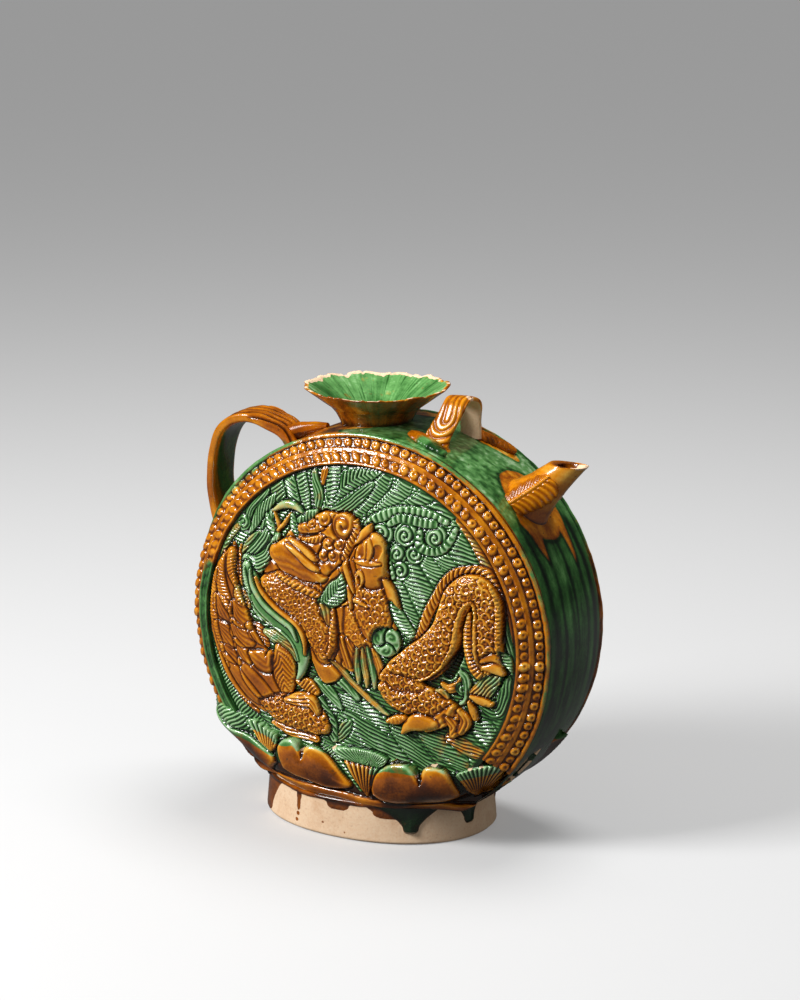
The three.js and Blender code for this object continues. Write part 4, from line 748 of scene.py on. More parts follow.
def texture(kind, x, z, along, across, pitch, turn):
    """Height share of a stroke's texture by its kind."""
    cos, sin = np.cos(np.radians(turn)), np.sin(np.radians(turn))
    sway = 0.26 * wobble(x, z, 2.6)
    if kind == "lines":
        return ridge((z * cos - x * sin) / pitch + sway)
    if kind == "herring":
        return ridge((along * cos - np.abs(across) * sin) / pitch + sway)
    if kind == "slant":
        return ridge((along * cos - across * sin) / pitch + 0.6 * sway)
    if kind == "hair":
        return ridge((across + 0.5 * np.sin(along / 4.5)) / pitch + 0.8 * sway)
    if kind == "across":
        return ridge(along / pitch)
    if kind == "scales":
        return scales(along, across, pitch)
    if kind == "fan":
        return ridge(np.arctan2(across, along + 3) * 10 / pitch)
    if kind == "lumps":
        return 0.5 + 0.5 * wobble(x, z, pitch / 3)
    return np.ones_like(x)


def lay_strokes(x, z, ground, strokes):
    """Height, amber share and cover of a relief: the strokes are laid one over another on a ground."""
    shape, x, z = x.shape, x.ravel(), z.ravel()
    x, z = x + 0.35 * wobble(x, z, 5.0), z + 0.35 * wobble(z, x, 4.3)
    height, amber, raised = ground.ravel().copy(), np.zeros(len(x)), np.zeros(len(x))
    for mode, colour, level, crown, kind, depth, pitch, turn, points in strokes:
        path = smooth_path(points + points[:1] if mode == "patch" else points)
        reach = path[:, 2].max() + 2.5
        low, high = path[:, :2].min(0) - reach, path[:, :2].max(0) + reach
        k = np.flatnonzero((x > low[0]) & (x < high[0]) & (z > low[1]) & (z < high[1]))
        if not len(k):
            continue
        if mode in ("curl", "rose"):
            cx, cz, wide = points[0]
            along = across = np.hypot(x[k] - cx, z[k] - cz)
            angle = np.arctan2(z[k] - cz, x[k] - cx) / (2 * np.pi)
            grain = ridge(along / wide * turn - angle)
            if mode == "rose":
                fold = ((3 * angle + 0.35 * along / wide) % 1 - 0.5) * 2 * np.pi / 3
                u, v = along / wide * np.cos(fold) - 0.52, along / wide * np.sin(fold)
                curl = ridge(2.6 * np.hypot(u, v) - np.arctan2(v, u) / (2 * np.pi))
                cleft = along / wide * np.sin(np.pi / 3 - np.abs(fold)) / 0.075
                grain = (1 - np.exp(-(cleft**2))) * (0.8 + 0.2 * curl)
        elif mode == "patch":
            along, across = z[k] - points[0][1], x[k] - points[0][0]
            margin, wide = inward(x[k], z[k], path[:-1, :2]), points[0][2]
            grain = texture(kind, x[k], z[k], along, across, pitch, turn)
            across = wide * (1 - np.clip(margin / wide, 0, 1))
        else:
            along, across, wide = along_across(x[k], z[k], path)
            grain = texture(kind, x[k], z[k], along, across, pitch, turn)
            depth = depth if kind else 0
        if mode != "patch":
            margin = wide - np.abs(across)
        cover, fade = step(margin / 0.5 + 0.5), step(margin / 0.9)
        dome = np.sqrt(np.clip(1 - (across / wide) ** 2, 0, 1))
        soft = step(margin / 1.2 + 0.6)
        if mode == "pit":
            height[k] += cover * crown * dome
            continue
        if mode == "tint":
            amber[k] += soft * (colour - amber[k])
            continue
        if mode == "on":
            height[k] += cover * (crown * dome + depth * (grain - 0.5) * fade)
            height[k] -= 0.45 * np.exp(-(((margin + 0.3) / 0.4) ** 2))
        else:
            height[k] += cover * (level + crown * dome + depth * (grain - 1) * fade - height[k])
            height[k] -= min(0.9, 0.35 + 0.3 * level) * np.exp(-(((margin + 0.45) / 0.5) ** 2))
        amber[k] += soft * (colour - amber[k])
        if level > 0.75:
            raised[k] = np.maximum(raised[k], cover)
    return height.reshape(shape), amber.reshape(shape), raised.reshape(shape)


def pooled(height, cell):
    """How far the glaze thins, 0 to 1: a grid's height against its own blur, fine and broad."""
    fine, broad = height - blur(height, 0.9 / cell), height - blur(height, 3.0 / cell)
    return np.clip(0.47 + 1.1 * fine + 0.22 * broad, 0, 1)


WOBBLE_WAVES = np.column_stack([RNG.normal(0, 1, (10, 2)), RNG.uniform(0, 2 * np.pi, 10)])


def combed(x, z):
    """Height of the ground: fine waves, combed across it and running a little downhill."""
    return GROUND_DEPTH * ridge((z + 0.18 * x + 0.4 * wobble(x, z, 5.0)) / GROUND_PITCH)


def on_relief(strokes):
    """The traced strokes moved to where the raised relief lies in the same rays of the camera.

    A place that stands out further than the traced dome lies further towards the camera, so that it
    moves right and up by its extra height times the slope of the view.
    """
    left, low = -FIELD_LIMIT - 4, 10.0
    x, z = np.meshgrid(np.arange(left, -left, TRACE_CELL), np.arange(low, 200, TRACE_CELL))
    height = lay_strokes(x, z, combed(x, z), [stroke for stroke in strokes if stroke[0] != "patch"])[0]
    height = blur(height, TRACE_BLUR)
    moved = []
    for *style, points in strokes:
        x, z, wide = np.array(points, float).T
        out = np.minimum(1, (x**2 + (z - CENTRE_HEIGHT) ** 2) / FIELD_RADIUS**2)
        row = np.clip(np.round((z - low) / TRACE_CELL), 0, len(height) - 1).astype(int)
        column = np.clip(np.round((x - left) / TRACE_CELL), 0, height.shape[1] - 1).astype(int)
        extra = height[row, column] - (TRACED_CROWN - FIELD_CROWN) * (1 - out)
        x = np.round(x - extra * towards[0] / towards[1], 1)
        z = np.round(z - extra * towards[2] / towards[1], 1)
        moved.append((*style, list(zip(x, z, wide))))
    return moved


STROKES = on_relief(TRACED_STROKES)


def medallion(cell):
    """Points, squares, masks and dragon share of one face: a square grid trimmed to the round field.

    Depth is the rim depth plus a parabolic crown plus the height of the relief.
    """
    across = np.arange(-FIELD_LIMIT, FIELD_LIMIT + cell, cell)
    up = np.arange(FIELD_BOTTOM, CENTRE_HEIGHT + FIELD_LIMIT + cell, cell)
    x, z = np.meshgrid(across, up)
    height, amber, raised = lay_strokes(x, z, combed(x, z), STROKES)
    height = np.minimum(height, RELIEF_LIMIT + 0.35 * (height - RELIEF_LIMIT))
    radius = np.hypot(x, z - CENTRE_HEIGHT)
    rim = step((radius - FIELD_RADIUS + 2.0) / 2.0)
    height *= 1 - rim
    film_and_shade = 0.47 + (pooled(height, cell) - 0.47) * (1 - 0.35 * amber) + 0.05 * amber - 0.25 * rim
    film_and_shade += 0.08 * step((x - 5) / 12) * step((z - 100) / 12) * (1 - amber)
    film_and_shade -= 0.08 * step((-x - 42) / 8) * amber
    depth = FIELD_RIM_DEPTH + FIELD_CROWN * (1 - (radius / FIELD_RADIUS) ** 2) + height
    depth = np.minimum(depth, DEPTH_LIMIT)
    points = np.stack([x, -depth, z], -1).reshape(-1, 3)
    masks = np.stack([amber, film_and_shade, np.zeros_like(film_and_shade)], -1).reshape(-1, 3)
    faces = grid_faces(*x.shape)
    faces = faces[(radius.ravel()[faces] < FIELD_LIMIT).all(axis=1)]
    return points, faces, masks, raised.ravel()


for side, cell, turned in (("front", 0.38, False), ("back", 0.5, True)):
    cell = cell
    points, faces, masks, raised = medallion(cell)
    if turned:
        points = half_turn(points)
    dragon = raised[faces].mean(axis=1) > 0.5
    node = f"{side}_shell"
    for name, chosen in ((f"{side}_dragon", dragon), (f"{side}_waves", ~dragon)):
        make_piece(name, points, faces[chosen], masks, relief_glaze, DISC_CENTRE, "green_glaze", node)


# Beaded borders
# A sloping ring round each face, moulded with the wall: a rolled lip, a row of ring-shaped beads,
# a plain raised band and a second, more melted row of beads beside the field.
DISC_RADIUS = 99.0
BAND_HALF = 30.2
BORDER_WIDTH = 13.5
BORDER_DEPTH = 8.5
BORDER_SLOPE = float(np.hypot(BORDER_WIDTH, BORDER_DEPTH))
BORDER_START, BORDER_END = np.radians([-37, 220])
OUTER_BEADS, OUTER_BEAD_SHARE = 116, 0.285
INNER_BEADS, INNER_BEAD_SHARE = 105, 0.755
BEAD_RADIUS = 2.3
BEAD_RISE = 1.5
# How far the lip is amber instead of green, by its direction in degrees.
LIP_AMBER = [
    (-45, 1), (-28, 0.9), (-15, 0.5), (30, 0.42), (37, 0.9), (50, 0.95), (58, 0.5), (75, 0.3), (92, 0.3),
    (100, 0.85), (112, 0.7), (122, 0.4), (150, 0.5), (160, 0.8), (190, 0.75), (205, 0.5), (220, 0.4),
]


def beads(angle, across, count, middle, melt):
    """Height of a row of ring-shaped beads, each a little different in size, place and melt.

    Where the glaze melted most the beads lean over and run together like the twists of a rope.
    """
    turn = angle / (2 * np.pi) * count
    number = np.floor(turn).astype(int) % count
    lot = BEAD_CHANCE[number]
    melt = np.clip(melt + 0.5 * step((angle - 1.1) / 0.7) + 0.12 * lot[..., 2], 0, 1)
    radius = DISC_RADIUS - BORDER_WIDTH * middle
    along = (turn - np.floor(turn) - 0.5 + 0.05 * lot[..., 1]) * 2 * np.pi * radius / count
    over = (across - middle) * BORDER_SLOPE + 0.15 * lot[..., 2]
    r = np.hypot(along + 0.55 * melt * over, over * (1 - 0.2 * melt))
    r /= BEAD_RADIUS * (1 + 0.08 * lot[..., 0])
    pit = np.hypot(along - 0.35 * lot[..., 0], over + 0.3) / (0.36 * BEAD_RADIUS)
    dome = np.sqrt(np.clip(1 - r**2, 0, 1))
    return BEAD_RISE * (1 - 0.3 * melt) * (1 + 0.18 * lot[..., 0]) * dome - np.exp(-(pit**2)) * (1 - melt)


BEAD_CHANCE = np.clip(RNG.normal(0, 1, (OUTER_BEADS, 3)), -2, 2)


def worn(angle):
    """How far the front lip is worn down, on the side of the handle."""
    return 1.9 * step((angle - 2.3) / 0.6)


def border(cell, wear):
    """Points, squares and masks of one border: a straight slope raised by the height of its ridges.

    The wear is 1 where the lip is worn down and 0 where it isn't.
    """
    columns = int((BORDER_END - BORDER_START) * DISC_RADIUS / cell)
    angle = np.linspace(BORDER_START, BORDER_END, columns)
    across = np.arange(-0.13, 1.14, cell / BORDER_SLOPE)
    angle, across = np.meshgrid(angle, across)
    x, z = DISC_RADIUS * np.cos(angle), DISC_RADIUS * np.sin(angle)
    uneven = 0.01 * wobble(x, z, 9.0)
    share = across + uneven
    lost = wear * worn(angle)
    fused = step((angle - 2.75) / 0.3) * step((share - 0.5) / 0.08)
    height = (1.1 - 0.45 * lost) * np.sqrt(np.clip(1 - ((share - 0.055) / 0.085) ** 2, 0, 1))
    height += 0.75 * step((share - 0.44) / 0.04) * step((0.645 - share) / 0.04)
    height += 0.45 * step((share - 0.89) / 0.03) * step((1.01 - share) / 0.04)
    height -= 0.55 * np.exp(-(((share - 0.155) / 0.02) ** 2))
    outer = beads(angle, share, OUTER_BEADS, OUTER_BEAD_SHARE, 0.15)
    inner = beads(angle, share, INNER_BEADS, INNER_BEAD_SHARE, 0.4)
    height += np.maximum(outer, 0) + np.maximum(inner, 0) * (1 - 0.8 * fused)
    height += 0.35 * fused * ridge(7.5 * share + 0.5 * wobble(x, z, 7.0))
    height += 0.12 * wobble(x, z, 3.1) + 0.05 * wobble(x, z, 1.1)
    flat = np.clip(across, 0, 1)
    flank, drop = np.minimum(across, 0) * BORDER_SLOPE, np.maximum(across - 1, 0) * BORDER_SLOPE
    radius = DISC_RADIUS - BORDER_WIDTH * flat + height * BORDER_DEPTH / BORDER_SLOPE - 0.35 * drop
    depth = BAND_HALF + BORDER_DEPTH * flat + height * BORDER_WIDTH / BORDER_SLOPE + flank - drop
    radius = np.where(across < 0, DISC_RADIUS - 0.25 + np.maximum(height, 0) * 0.9, radius)
    radius -= lost * np.clip(1 - across / 0.22, 0, 1)
    points = np.stack([radius * np.cos(angle), -depth, CENTRE_HEIGHT + radius * np.sin(angle)], -1)
    film_and_shade = 0.55 + 0.55 * (pooled(height, cell) - 0.5) + 0.05 * wobble(x, z, 2.2)
    lip = step((0.13 - across) / 0.05)
    olive = np.exp(-(((angle - 2.35) / 0.4) ** 2)) * step((0.42 - across) / 0.2)
    lip_amber = np.interp(np.degrees(angle), *np.array(LIP_AMBER).T) + 0.12 * wobble(x, z, 9)
    amber = 1 - lip * (1 - lip_amber) + 0.15 * wobble(x, z, 7) * (1 - lip) - 0.5 * olive
    amber -= 0.35 * step(wobble(x, z, 13) - 0.9) * step((across - 0.6) / 0.2)
    film_and_shade -= 0.1 * lip + 0.32 * np.exp(-(((across - 0.155) / 0.022) ** 2))
    amber -= 1.3 * fused
    film_and_shade -= 0.1 * fused
    return points.reshape(-1, 3), grid_faces(*angle.shape), mask_grid(amber, film_and_shade).reshape(-1, 3)


for side, cell, turned in (("front", 0.36, False), ("back", 0.55, True)):
    points, faces, masks = border(cell, not turned)
    points = half_turn(points) if turned else points
    name, node = f"{side}_border", f"{side}_shell"
    make_piece(name, points, faces, masks, relief_glaze, DISC_CENTRE, "amber_glaze", node)


# Side band
# The plain curved wall between the two faces, where the halves were luted together and smoothed
# with a wet hand. Amber ran down over its green glaze from the mouth, the handle and the spout.
BAND_START, BAND_END = np.radians([-52, 232])
BAND_CROWN = 1.1
BAND_CELL = 0.9
THROAT_RADIUS = 12.5
MOUTH_X = -10.0
BORE_RADIUS = 4.2
SPOUT_TURN = np.radians(43)
# Each run of amber: its start and end as angle and depth, its half width at both, and its strength.
BAND_RUNS = [
    (138, 0, 100, 0, 12, 22, 1.0), (128, -16, 118, -24, 8, 10, 1.0), (128, -25, 102, -27, 9, 4, 1.0),
    (100, 22, 84, 26, 12, 6, 0.9), (66, 18, 57, 22, 6, 3, 1.0), (74, -14, 69, -17, 4.5, 3, 1.0),
    (46, 0, 38, 0, 14, 14, 1.0), (39, -13, 26, -11.5, 6.5, 0.5, 1.0), (38, 1, 31.5, 1, 6, 1.2, 1.0),
    (38, 12.5, 22.5, 13.6, 6, 0.5, 1.0), (163, 0, 150, 0, 13, 13, 0.9), (170, -6, 186, -8, 5, 1, 0.9),
    (170, 7, 180, 7, 5, 1, 0.9),
]

# Each dark run of thick green: its start and end as angles, its depth and its half width.
BAND_STREAKS = [
    (28, -28, -12, 1.5), (25, -20, 13.6, 1.4), (32, -6, 2, 1.2), (40, -30, -22, 1.6), (20, -34, -3, 2.2),
    (36, -24, 22, 1.8),
    (83, 62, -20, 1.0), (66, 50, -8, 1.2), (60, 52, 6, 1.2), (152, 210, 4, 2.0), (158, 200, -14, 1.6),
]


def band(side):
    """Points, squares and masks of half of the band: a slightly bulging hoop from its lip to the seam."""
    cell = BAND_CELL
    angle = np.linspace(BAND_START, BAND_END, int((BAND_END - BAND_START) * DISC_RADIUS / cell))
    across = np.linspace(0, -(BAND_HALF - 0.4), int(BAND_HALF / cell))
    angle, depth = np.meshgrid(angle, across)
    arc = angle * DISC_RADIUS
    y = depth if side == "front" else -depth
    radius = DISC_RADIUS - 0.2 + BAND_CROWN * (1 - (depth / BAND_HALF) ** 2)
    radius += 0.16 * wobble(arc, y, 11.0) + 0.05 * wobble(y, arc, 4.0)
    radius -= 0.35 * np.exp(-(((depth + BAND_HALF - 1.2) / 0.8) ** 2))
    if side == "front":
        radius -= worn(angle) * step((-depth - 24) / 5)
    points = np.stack([radius * np.cos(angle), y, CENTRE_HEIGHT + radius * np.sin(angle)], -1)
    degrees = np.degrees(angle)
    side_share = step((48 - degrees) / 22) + step((degrees - 140) / 25)
    runs = wobble(y * 1.5, arc * 0.07, 2.6) * side_share + 0.5 * wobble(y * 3.1, arc * 0.12, 2.6)
    # Painted light and shade: the shoulder, from 48 to 140 degrees, is painted paler and a little amber,
    # partly the glaze's own tone and partly painted light from above; the two sides carry painted shade.
    film_and_shade = 0.45 + 0.07 * wobble(arc, y, 14.0) + 0.09 * runs - 0.10 * side_share
    speckle = np.clip(blur(RNG.normal(0, 1.8, arc.shape), 0.7), -1, 1.6)
    film_and_shade += (0.19 + 0.06 * wobble(y * 1.7, arc * 1.2, 3.0) + 0.13 * speckle) * (1 - side_share)
    amber = 0.10 * (1 - side_share)
    most = np.full_like(arc, -9.0)
    ragged = (arc.ravel() + 0.8 * wobble(arc, y, 4.0).ravel(), y.ravel() + wobble(y, arc, 5.0).ravel())
    for start, start_y, end, end_y, wide, narrow, strength in BAND_RUNS:
        line = np.array([[start, start_y, wide], [end, end_y, narrow]], float)
        line[:, 0] = np.radians(line[:, 0]) * DISC_RADIUS
        _, away, half = along_across(*ragged, line)
        inside = (half - np.abs(away)).reshape(arc.shape)
        amber = np.maximum(amber, strength * step(inside / 2.0 + 0.5))
        most = np.maximum(most, inside)
    film_and_shade -= 0.3 * np.exp(-(((most + 0.9) / 0.9) ** 2))
    film_and_shade += 0.14 * step(most / 2.0) * side_share
    for start, end, at, wide in BAND_STREAKS:
        ends = step((np.radians(start) - angle) / 0.06) * step((angle - np.radians(end)) / 0.3)
        film_and_shade -= 0.34 * ends * np.exp(-(((y - at + 0.7 * wobble(arc, y, 9.0)) / wide) ** 2))
    film_and_shade -= 0.25 * np.exp(-(((depth + BAND_HALF - 0.6) / 1.2) ** 2))
    hole = np.hypot(points[..., 0] - MOUTH_X, y) < THROAT_RADIUS + 0.6
    hole &= points[..., 2] > CENTRE_HEIGHT
    hole |= np.hypot((angle - SPOUT_TURN) * DISC_RADIUS, y) < BORE_RADIUS + 0.4
    faces = grid_faces(*angle.shape)
    faces = faces[~hole.ravel()[faces].all(axis=1)]
    return points.reshape(-1, 3), faces, mask_grid(amber, film_and_shade).reshape(-1, 3)


band_glaze = glazed("band_glaze", 0.75, 0.1)
for side in ("front", "back"):
    points, faces, masks = band(side)
    make_piece(f"{side}_band", points, faces, masks, band_glaze, DISC_CENTRE, "green_glaze", f"{side}_shell")


# Lotus calyx
# The disc sits in a flower of double-lobed petals with fluted fan-shaped tufts between them,
# pressed in low relief and coated with thick amber glaze, green at the upper rims.
FOOT_HEIGHT = 20.0
FOOT_X = -8.0
CALYX_TOP = 58.0
CALYX_CELL = 0.42
PETALS = [
    ("over", 1, 0, 0, "", 0, 1, 0, [(-150, 22, 9), (150, 22, 9)]),
    ("over", 0.1, 0.4, 0.4, "across", 0.5, 3, 0, [(-150, 60, 20), (150, 60, 20)]),
    ("over", 0, 0.6, 0.6, "slant", 0.8, 1.8, 60, [(-92, 50, 5), (-76, 50, 5), (-58, 49, 4)]),
    # Ribbed sepals in the gaps between the petals.
    ("over", 0.25, 0.2, 0.9, "slant", 0.9, 1.5, 40, [(-17, 46, 2), (-10, 43, 2.6), (-5, 38, 2.2),
        (0, 33, 1.6), (5, 27, 1)]),
    ("over", 0.2, 0.2, 0.7, "slant", 0.8, 1.5, -40, [(22, 46, 2), (17, 42, 2.2), (13, 36, 1.6), (10, 28, 1)]),
    ("over", 0.15, 0.1, 0.6, "slant", 0.8, 1.5, 40, [(52, 44, 2), (56, 38, 2), (59, 31, 1.4)]),
    # The great petals left and right of the middle, smooth, with two lobes and a notch.
    ("patch", 1, 1.2, 2.4, "", 0, 1, 0, [
        (-39.7, 30, 8), (-42.4, 36, 8), (-43.1, 41, 8), (-39.9, 45.4, 8), (-35, 46.4, 8), (-31.2, 45, 8),
        (-29, 40.5, 8),
        (-27, 43.2, 8), (-23.1, 45, 8), (-18.5, 44.4, 8), (-13.9, 41.5, 8), (-9.3, 37.5, 8), (-4.4, 33, 8),
        (0, 28.8, 8),
        (-4.2, 26, 8), (-13.3, 25, 8), (-21.8, 26, 8), (-32, 27.5, 8)]),
    ("pit", 1, 0, -0.9, "", 0, 1, 0, [(-29, 45.5, 3.2), (-28.6, 41.5, 2.0), (-28, 38, 0.6)]),
    ("patch", 1, 1.2, 2.6, "", 0, 1, 0, [
        (11.6, 26, 8), (11.1, 30, 8), (12.2, 36, 8), (16.5, 40.8, 8), (23.2, 43.4, 8), (30, 43.2, 8),
        (33.8, 41.2, 8),
        (35.6, 37.5, 8), (37.8, 42, 8), (41.5, 44.8, 8), (47.9, 44.6, 8), (51.8, 42, 8), (54.8, 36.5, 8),
        (58.2, 29, 8),
        (48.5, 25, 8), (33.4, 22.5, 8), (20, 22, 8)]),
    ("pit", 1, 0, -0.9, "", 0, 1, 0, [(35.6, 43, 3.2), (36, 38.5, 2.0), (36.6, 35, 0.6)]),
    # Fan-shaped tufts: amber ribs under a green fringe.
    ("patch", 1, 1.6, 1.3, "fan", 1.2, 1.35, 0, [
        (8.8, 24.5, 3), (5.5, 28.5, 3), (1.2, 33.5, 3), (-2.5, 38, 3), (-4.5, 41.5, 3), (3.5, 43, 3),
        (10, 43, 3), (15.5, 41.5, 3),
        (13.2, 37, 3), (11.2, 31, 3)]),
    ("patch", 0, 1.5, 0.9, "fan", 1.1, 1.1, 0, [
        (8.8, 40.8, 2), (0, 40.8, 2), (-7, 41.5, 2), (-11, 45.8, 2), (-1.8, 47.6, 2), (8.6, 48, 2),
        (18.5, 45.6, 2), (16.5, 41.2, 2)]),
    ("patch", 1, 1.4, 1.1, "fan", 1.1, 1.1, 0, [
        (71.5, 27, 3), (64.3, 31.5, 3), (60, 36.5, 3), (56, 41.2, 3), (61, 44.4, 3), (66.6, 46.8, 3),
        (73.7, 48, 3), (82, 46.8, 3),
        (92.3, 41.8, 3), (95.5, 36, 3), (88.3, 32, 3), (78, 29, 3)]),
    ("tint", 0.05, 0, 0, "", 0, 1, 0, [(57, 41.5, 3.4), (64, 45, 4.2), (73, 46.5, 3.6), (82, 47, 1.6)]),
    ("patch", 1, 1.4, 1.1, "fan", 1.1, 1.5, 0, [
        (-49, 36, 3), (-54.5, 40.5, 3), (-58, 44.5, 3), (-64, 50, 3), (-57, 52, 3), (-49.5, 48.6, 3),
        (-44.9, 47.2, 3), (-43.9, 42, 3),
        (-46, 38.6, 3)]),
    ("tint", 0, 0, 0, "", 0, 1, 0, [(-66, 50, 3.5), (-57, 50.5, 3.6), (-46, 47.5, 3)]),
    # End petals round the two ends of the disc.
    ("patch", 0.9, 1.2, 1.4, "", 0, 1, 0, [
        (-46, 31, 6), (-46.8, 35, 6), (-54, 38.8, 6), (-65, 42.8, 6), (-76, 44.6, 6), (-86, 48.6, 6),
        (-96, 52, 6), (-108, 54, 6),
        (-135, 54, 6), (-135, 22, 6), (-80, 24, 6), (-56, 26, 6)]),
    ("patch", 0.9, 0.1, 0.6, "", 0, 1, 0, [
        (80, 24, 6), (90, 29, 6), (96, 34.5, 6), (100, 42, 6), (103, 49.5, 6), (109, 54.5, 6),
        (119, 56, 6), (135, 56, 6), (135, 20, 6),
        (84, 20, 6)]),
    ("tint", 0.1, 0, 0, "", 0, 1, 0, [(88, 29, 1), (95, 34, 1.8), (101, 44, 2.6), (108, 54, 3),
        (122, 56, 3.5)]),
    ("tint", 0.05, 0, 0, "", 0, 1, 0, [(-46, 35.5, 1), (-56, 39.5, 2), (-76, 44.5, 3), (-90, 50, 4),
        (-110, 54, 4)]),
    # Green upper rims of the great petals.
    ("tint", 0.15, 0, 0, "", 0, 1, 0, [(-44, 44, 2), (-39, 46, 3.4), (-33, 46.5, 3.2), (-30, 43, 2)]),
    ("tint", 0.35, 0, 0, "", 0, 1, 0, [(-27, 45, 1.6), (-20, 46, 2), (-14, 44, 1.6)]),
    ("tint", 0.25, 0, 0, "", 0, 1, 0, [(12, 38, 1.6), (18, 43, 3.6), (27, 43.5, 4.2), (34, 42, 3)]),
    ("tint", 0.5, 0, 0, "", 0, 1, 0, [(38, 44, 1.6), (45, 45.5, 2), (52, 43, 1.4)]),
    # Rolled bead where the calyx meets the foot.
    ("over", 1, 0.6, 1.2, "", 0, 1, 0, [(-150, 21.8, 2.2), (-30, 22.4, 2.2), (10, 21, 2.2), (40, 20, 2),
        (150, 20.5, 2.2)]),
]
# The upper outline of the flower along its girth.
CALYX_RIM = [
    (-125, 53.5), (-112, 55), (-100, 56), (-86, 56), (-80, 55.5), (-72, 54.5), (-64, 53.5), (-57, 52),
    (-49.5, 49), (-45, 47.4),
    (-43.5, 45), (-42, 45.5), (-38.9, 47), (-34.4, 47.2), (-31.2, 45.5), (-29, 42), (-27.5, 43.5),
    (-23.1, 45.8), (-18.5, 45.6),
    (-13, 45.4), (-10.5, 46.6), (-1.8, 48.3), (8.6, 48.7), (17.7, 46.6), (20, 45), (25, 44.6),
    (30.3, 44.2), (33.8, 42.2), (35.6, 39.5),
    (37.5, 42.6), (41.5, 45.6), (47.9, 45.6), (51.5, 43.8), (54, 43), (60, 45.2), (66.6, 47.6),
    (73.7, 48.7), (82, 47.6), (88, 45),
    (92.5, 42.2), (94.6, 38), (96.6, 36), (98.6, 39.5), (101, 43.5), (105, 48), (110, 50.8), (118, 51.8),
    (125, 51.8),
]


def oval(turn, half, depth, square):
    """A point of an oval whose powers of length and depth add up to one, by its direction."""
    cos, sin = np.cos(turn), np.sin(turn)
    grow = (np.abs(cos) ** square + np.abs(sin) ** square) ** (-1 / square)
    return half * cos * grow, depth * sin * grow


# The flower's half depth and the power of its oval, by share of its height, and how far it stands
# out past the disc at the two ends, by height.
CALYX_SHARES = [0, 0.12, 0.25, 0.4, 0.6, 0.8, 1]
CALYX_DEPTHS = [42.6, 43.4, 43.6, 43.4, 42.6, 41.8, 40.8]
CALYX_SQUARES = [2.3, 2.6, 3.0, 3.4, 3.8, 4.0, 4.0]
CALYX_END_HEIGHTS, CALYX_END_ROOM = [20, 26, 34, 58], [0.5, 1.6, 1.2, 0.2]


def chord_at(radius, z):
    """Half the width of an upright disc of a radius at a height."""
    return np.sqrt(np.maximum(radius**2 - (CENTRE_HEIGHT - z) ** 2, 1))


def calyx_share(z):
    """How far up the flower a height lies, from 0 to 1."""
    return np.clip((z - FOOT_HEIGHT) / (CALYX_TOP - FOOT_HEIGHT), 0, 1)


def calyx_outline(turn, z):
    """The flower's section at a height and its way to the wall.

    It is an oval, or the disc and its borders where they reach further.
    """
    share = calyx_share(z)
    chord, inner = chord_at(DISC_RADIUS, z), chord_at(DISC_RADIUS - BORDER_WIDTH, z)
    half = chord + np.interp(z, CALYX_END_HEIGHTS, CALYX_END_ROOM)
    depth = np.interp(share, CALYX_SHARES, CALYX_DEPTHS)
    square = np.interp(share, CALYX_SHARES, CALYX_SQUARES)
    x, y = oval(turn, half, depth, square)
    cos, sin, bevel = np.abs(np.cos(turn)), np.abs(np.sin(turn)), chord - inner
    slope = (BORDER_DEPTH * cos + bevel * sin) / (BORDER_DEPTH * chord + bevel * BAND_HALF)
    disc = 1 / np.maximum(np.maximum(cos / chord, slope), sin / (BAND_HALF + BORDER_DEPTH)) + 1.0
    grow = np.maximum(disc / np.hypot(x, y), 1)
    return x * grow, y * grow, np.hypot(x, y) * grow - disc


def rim_height(girth):
    """The height of the flower's upper outline at a place along its girth."""
    return np.interp(girth, *np.array(CALYX_RIM).T)


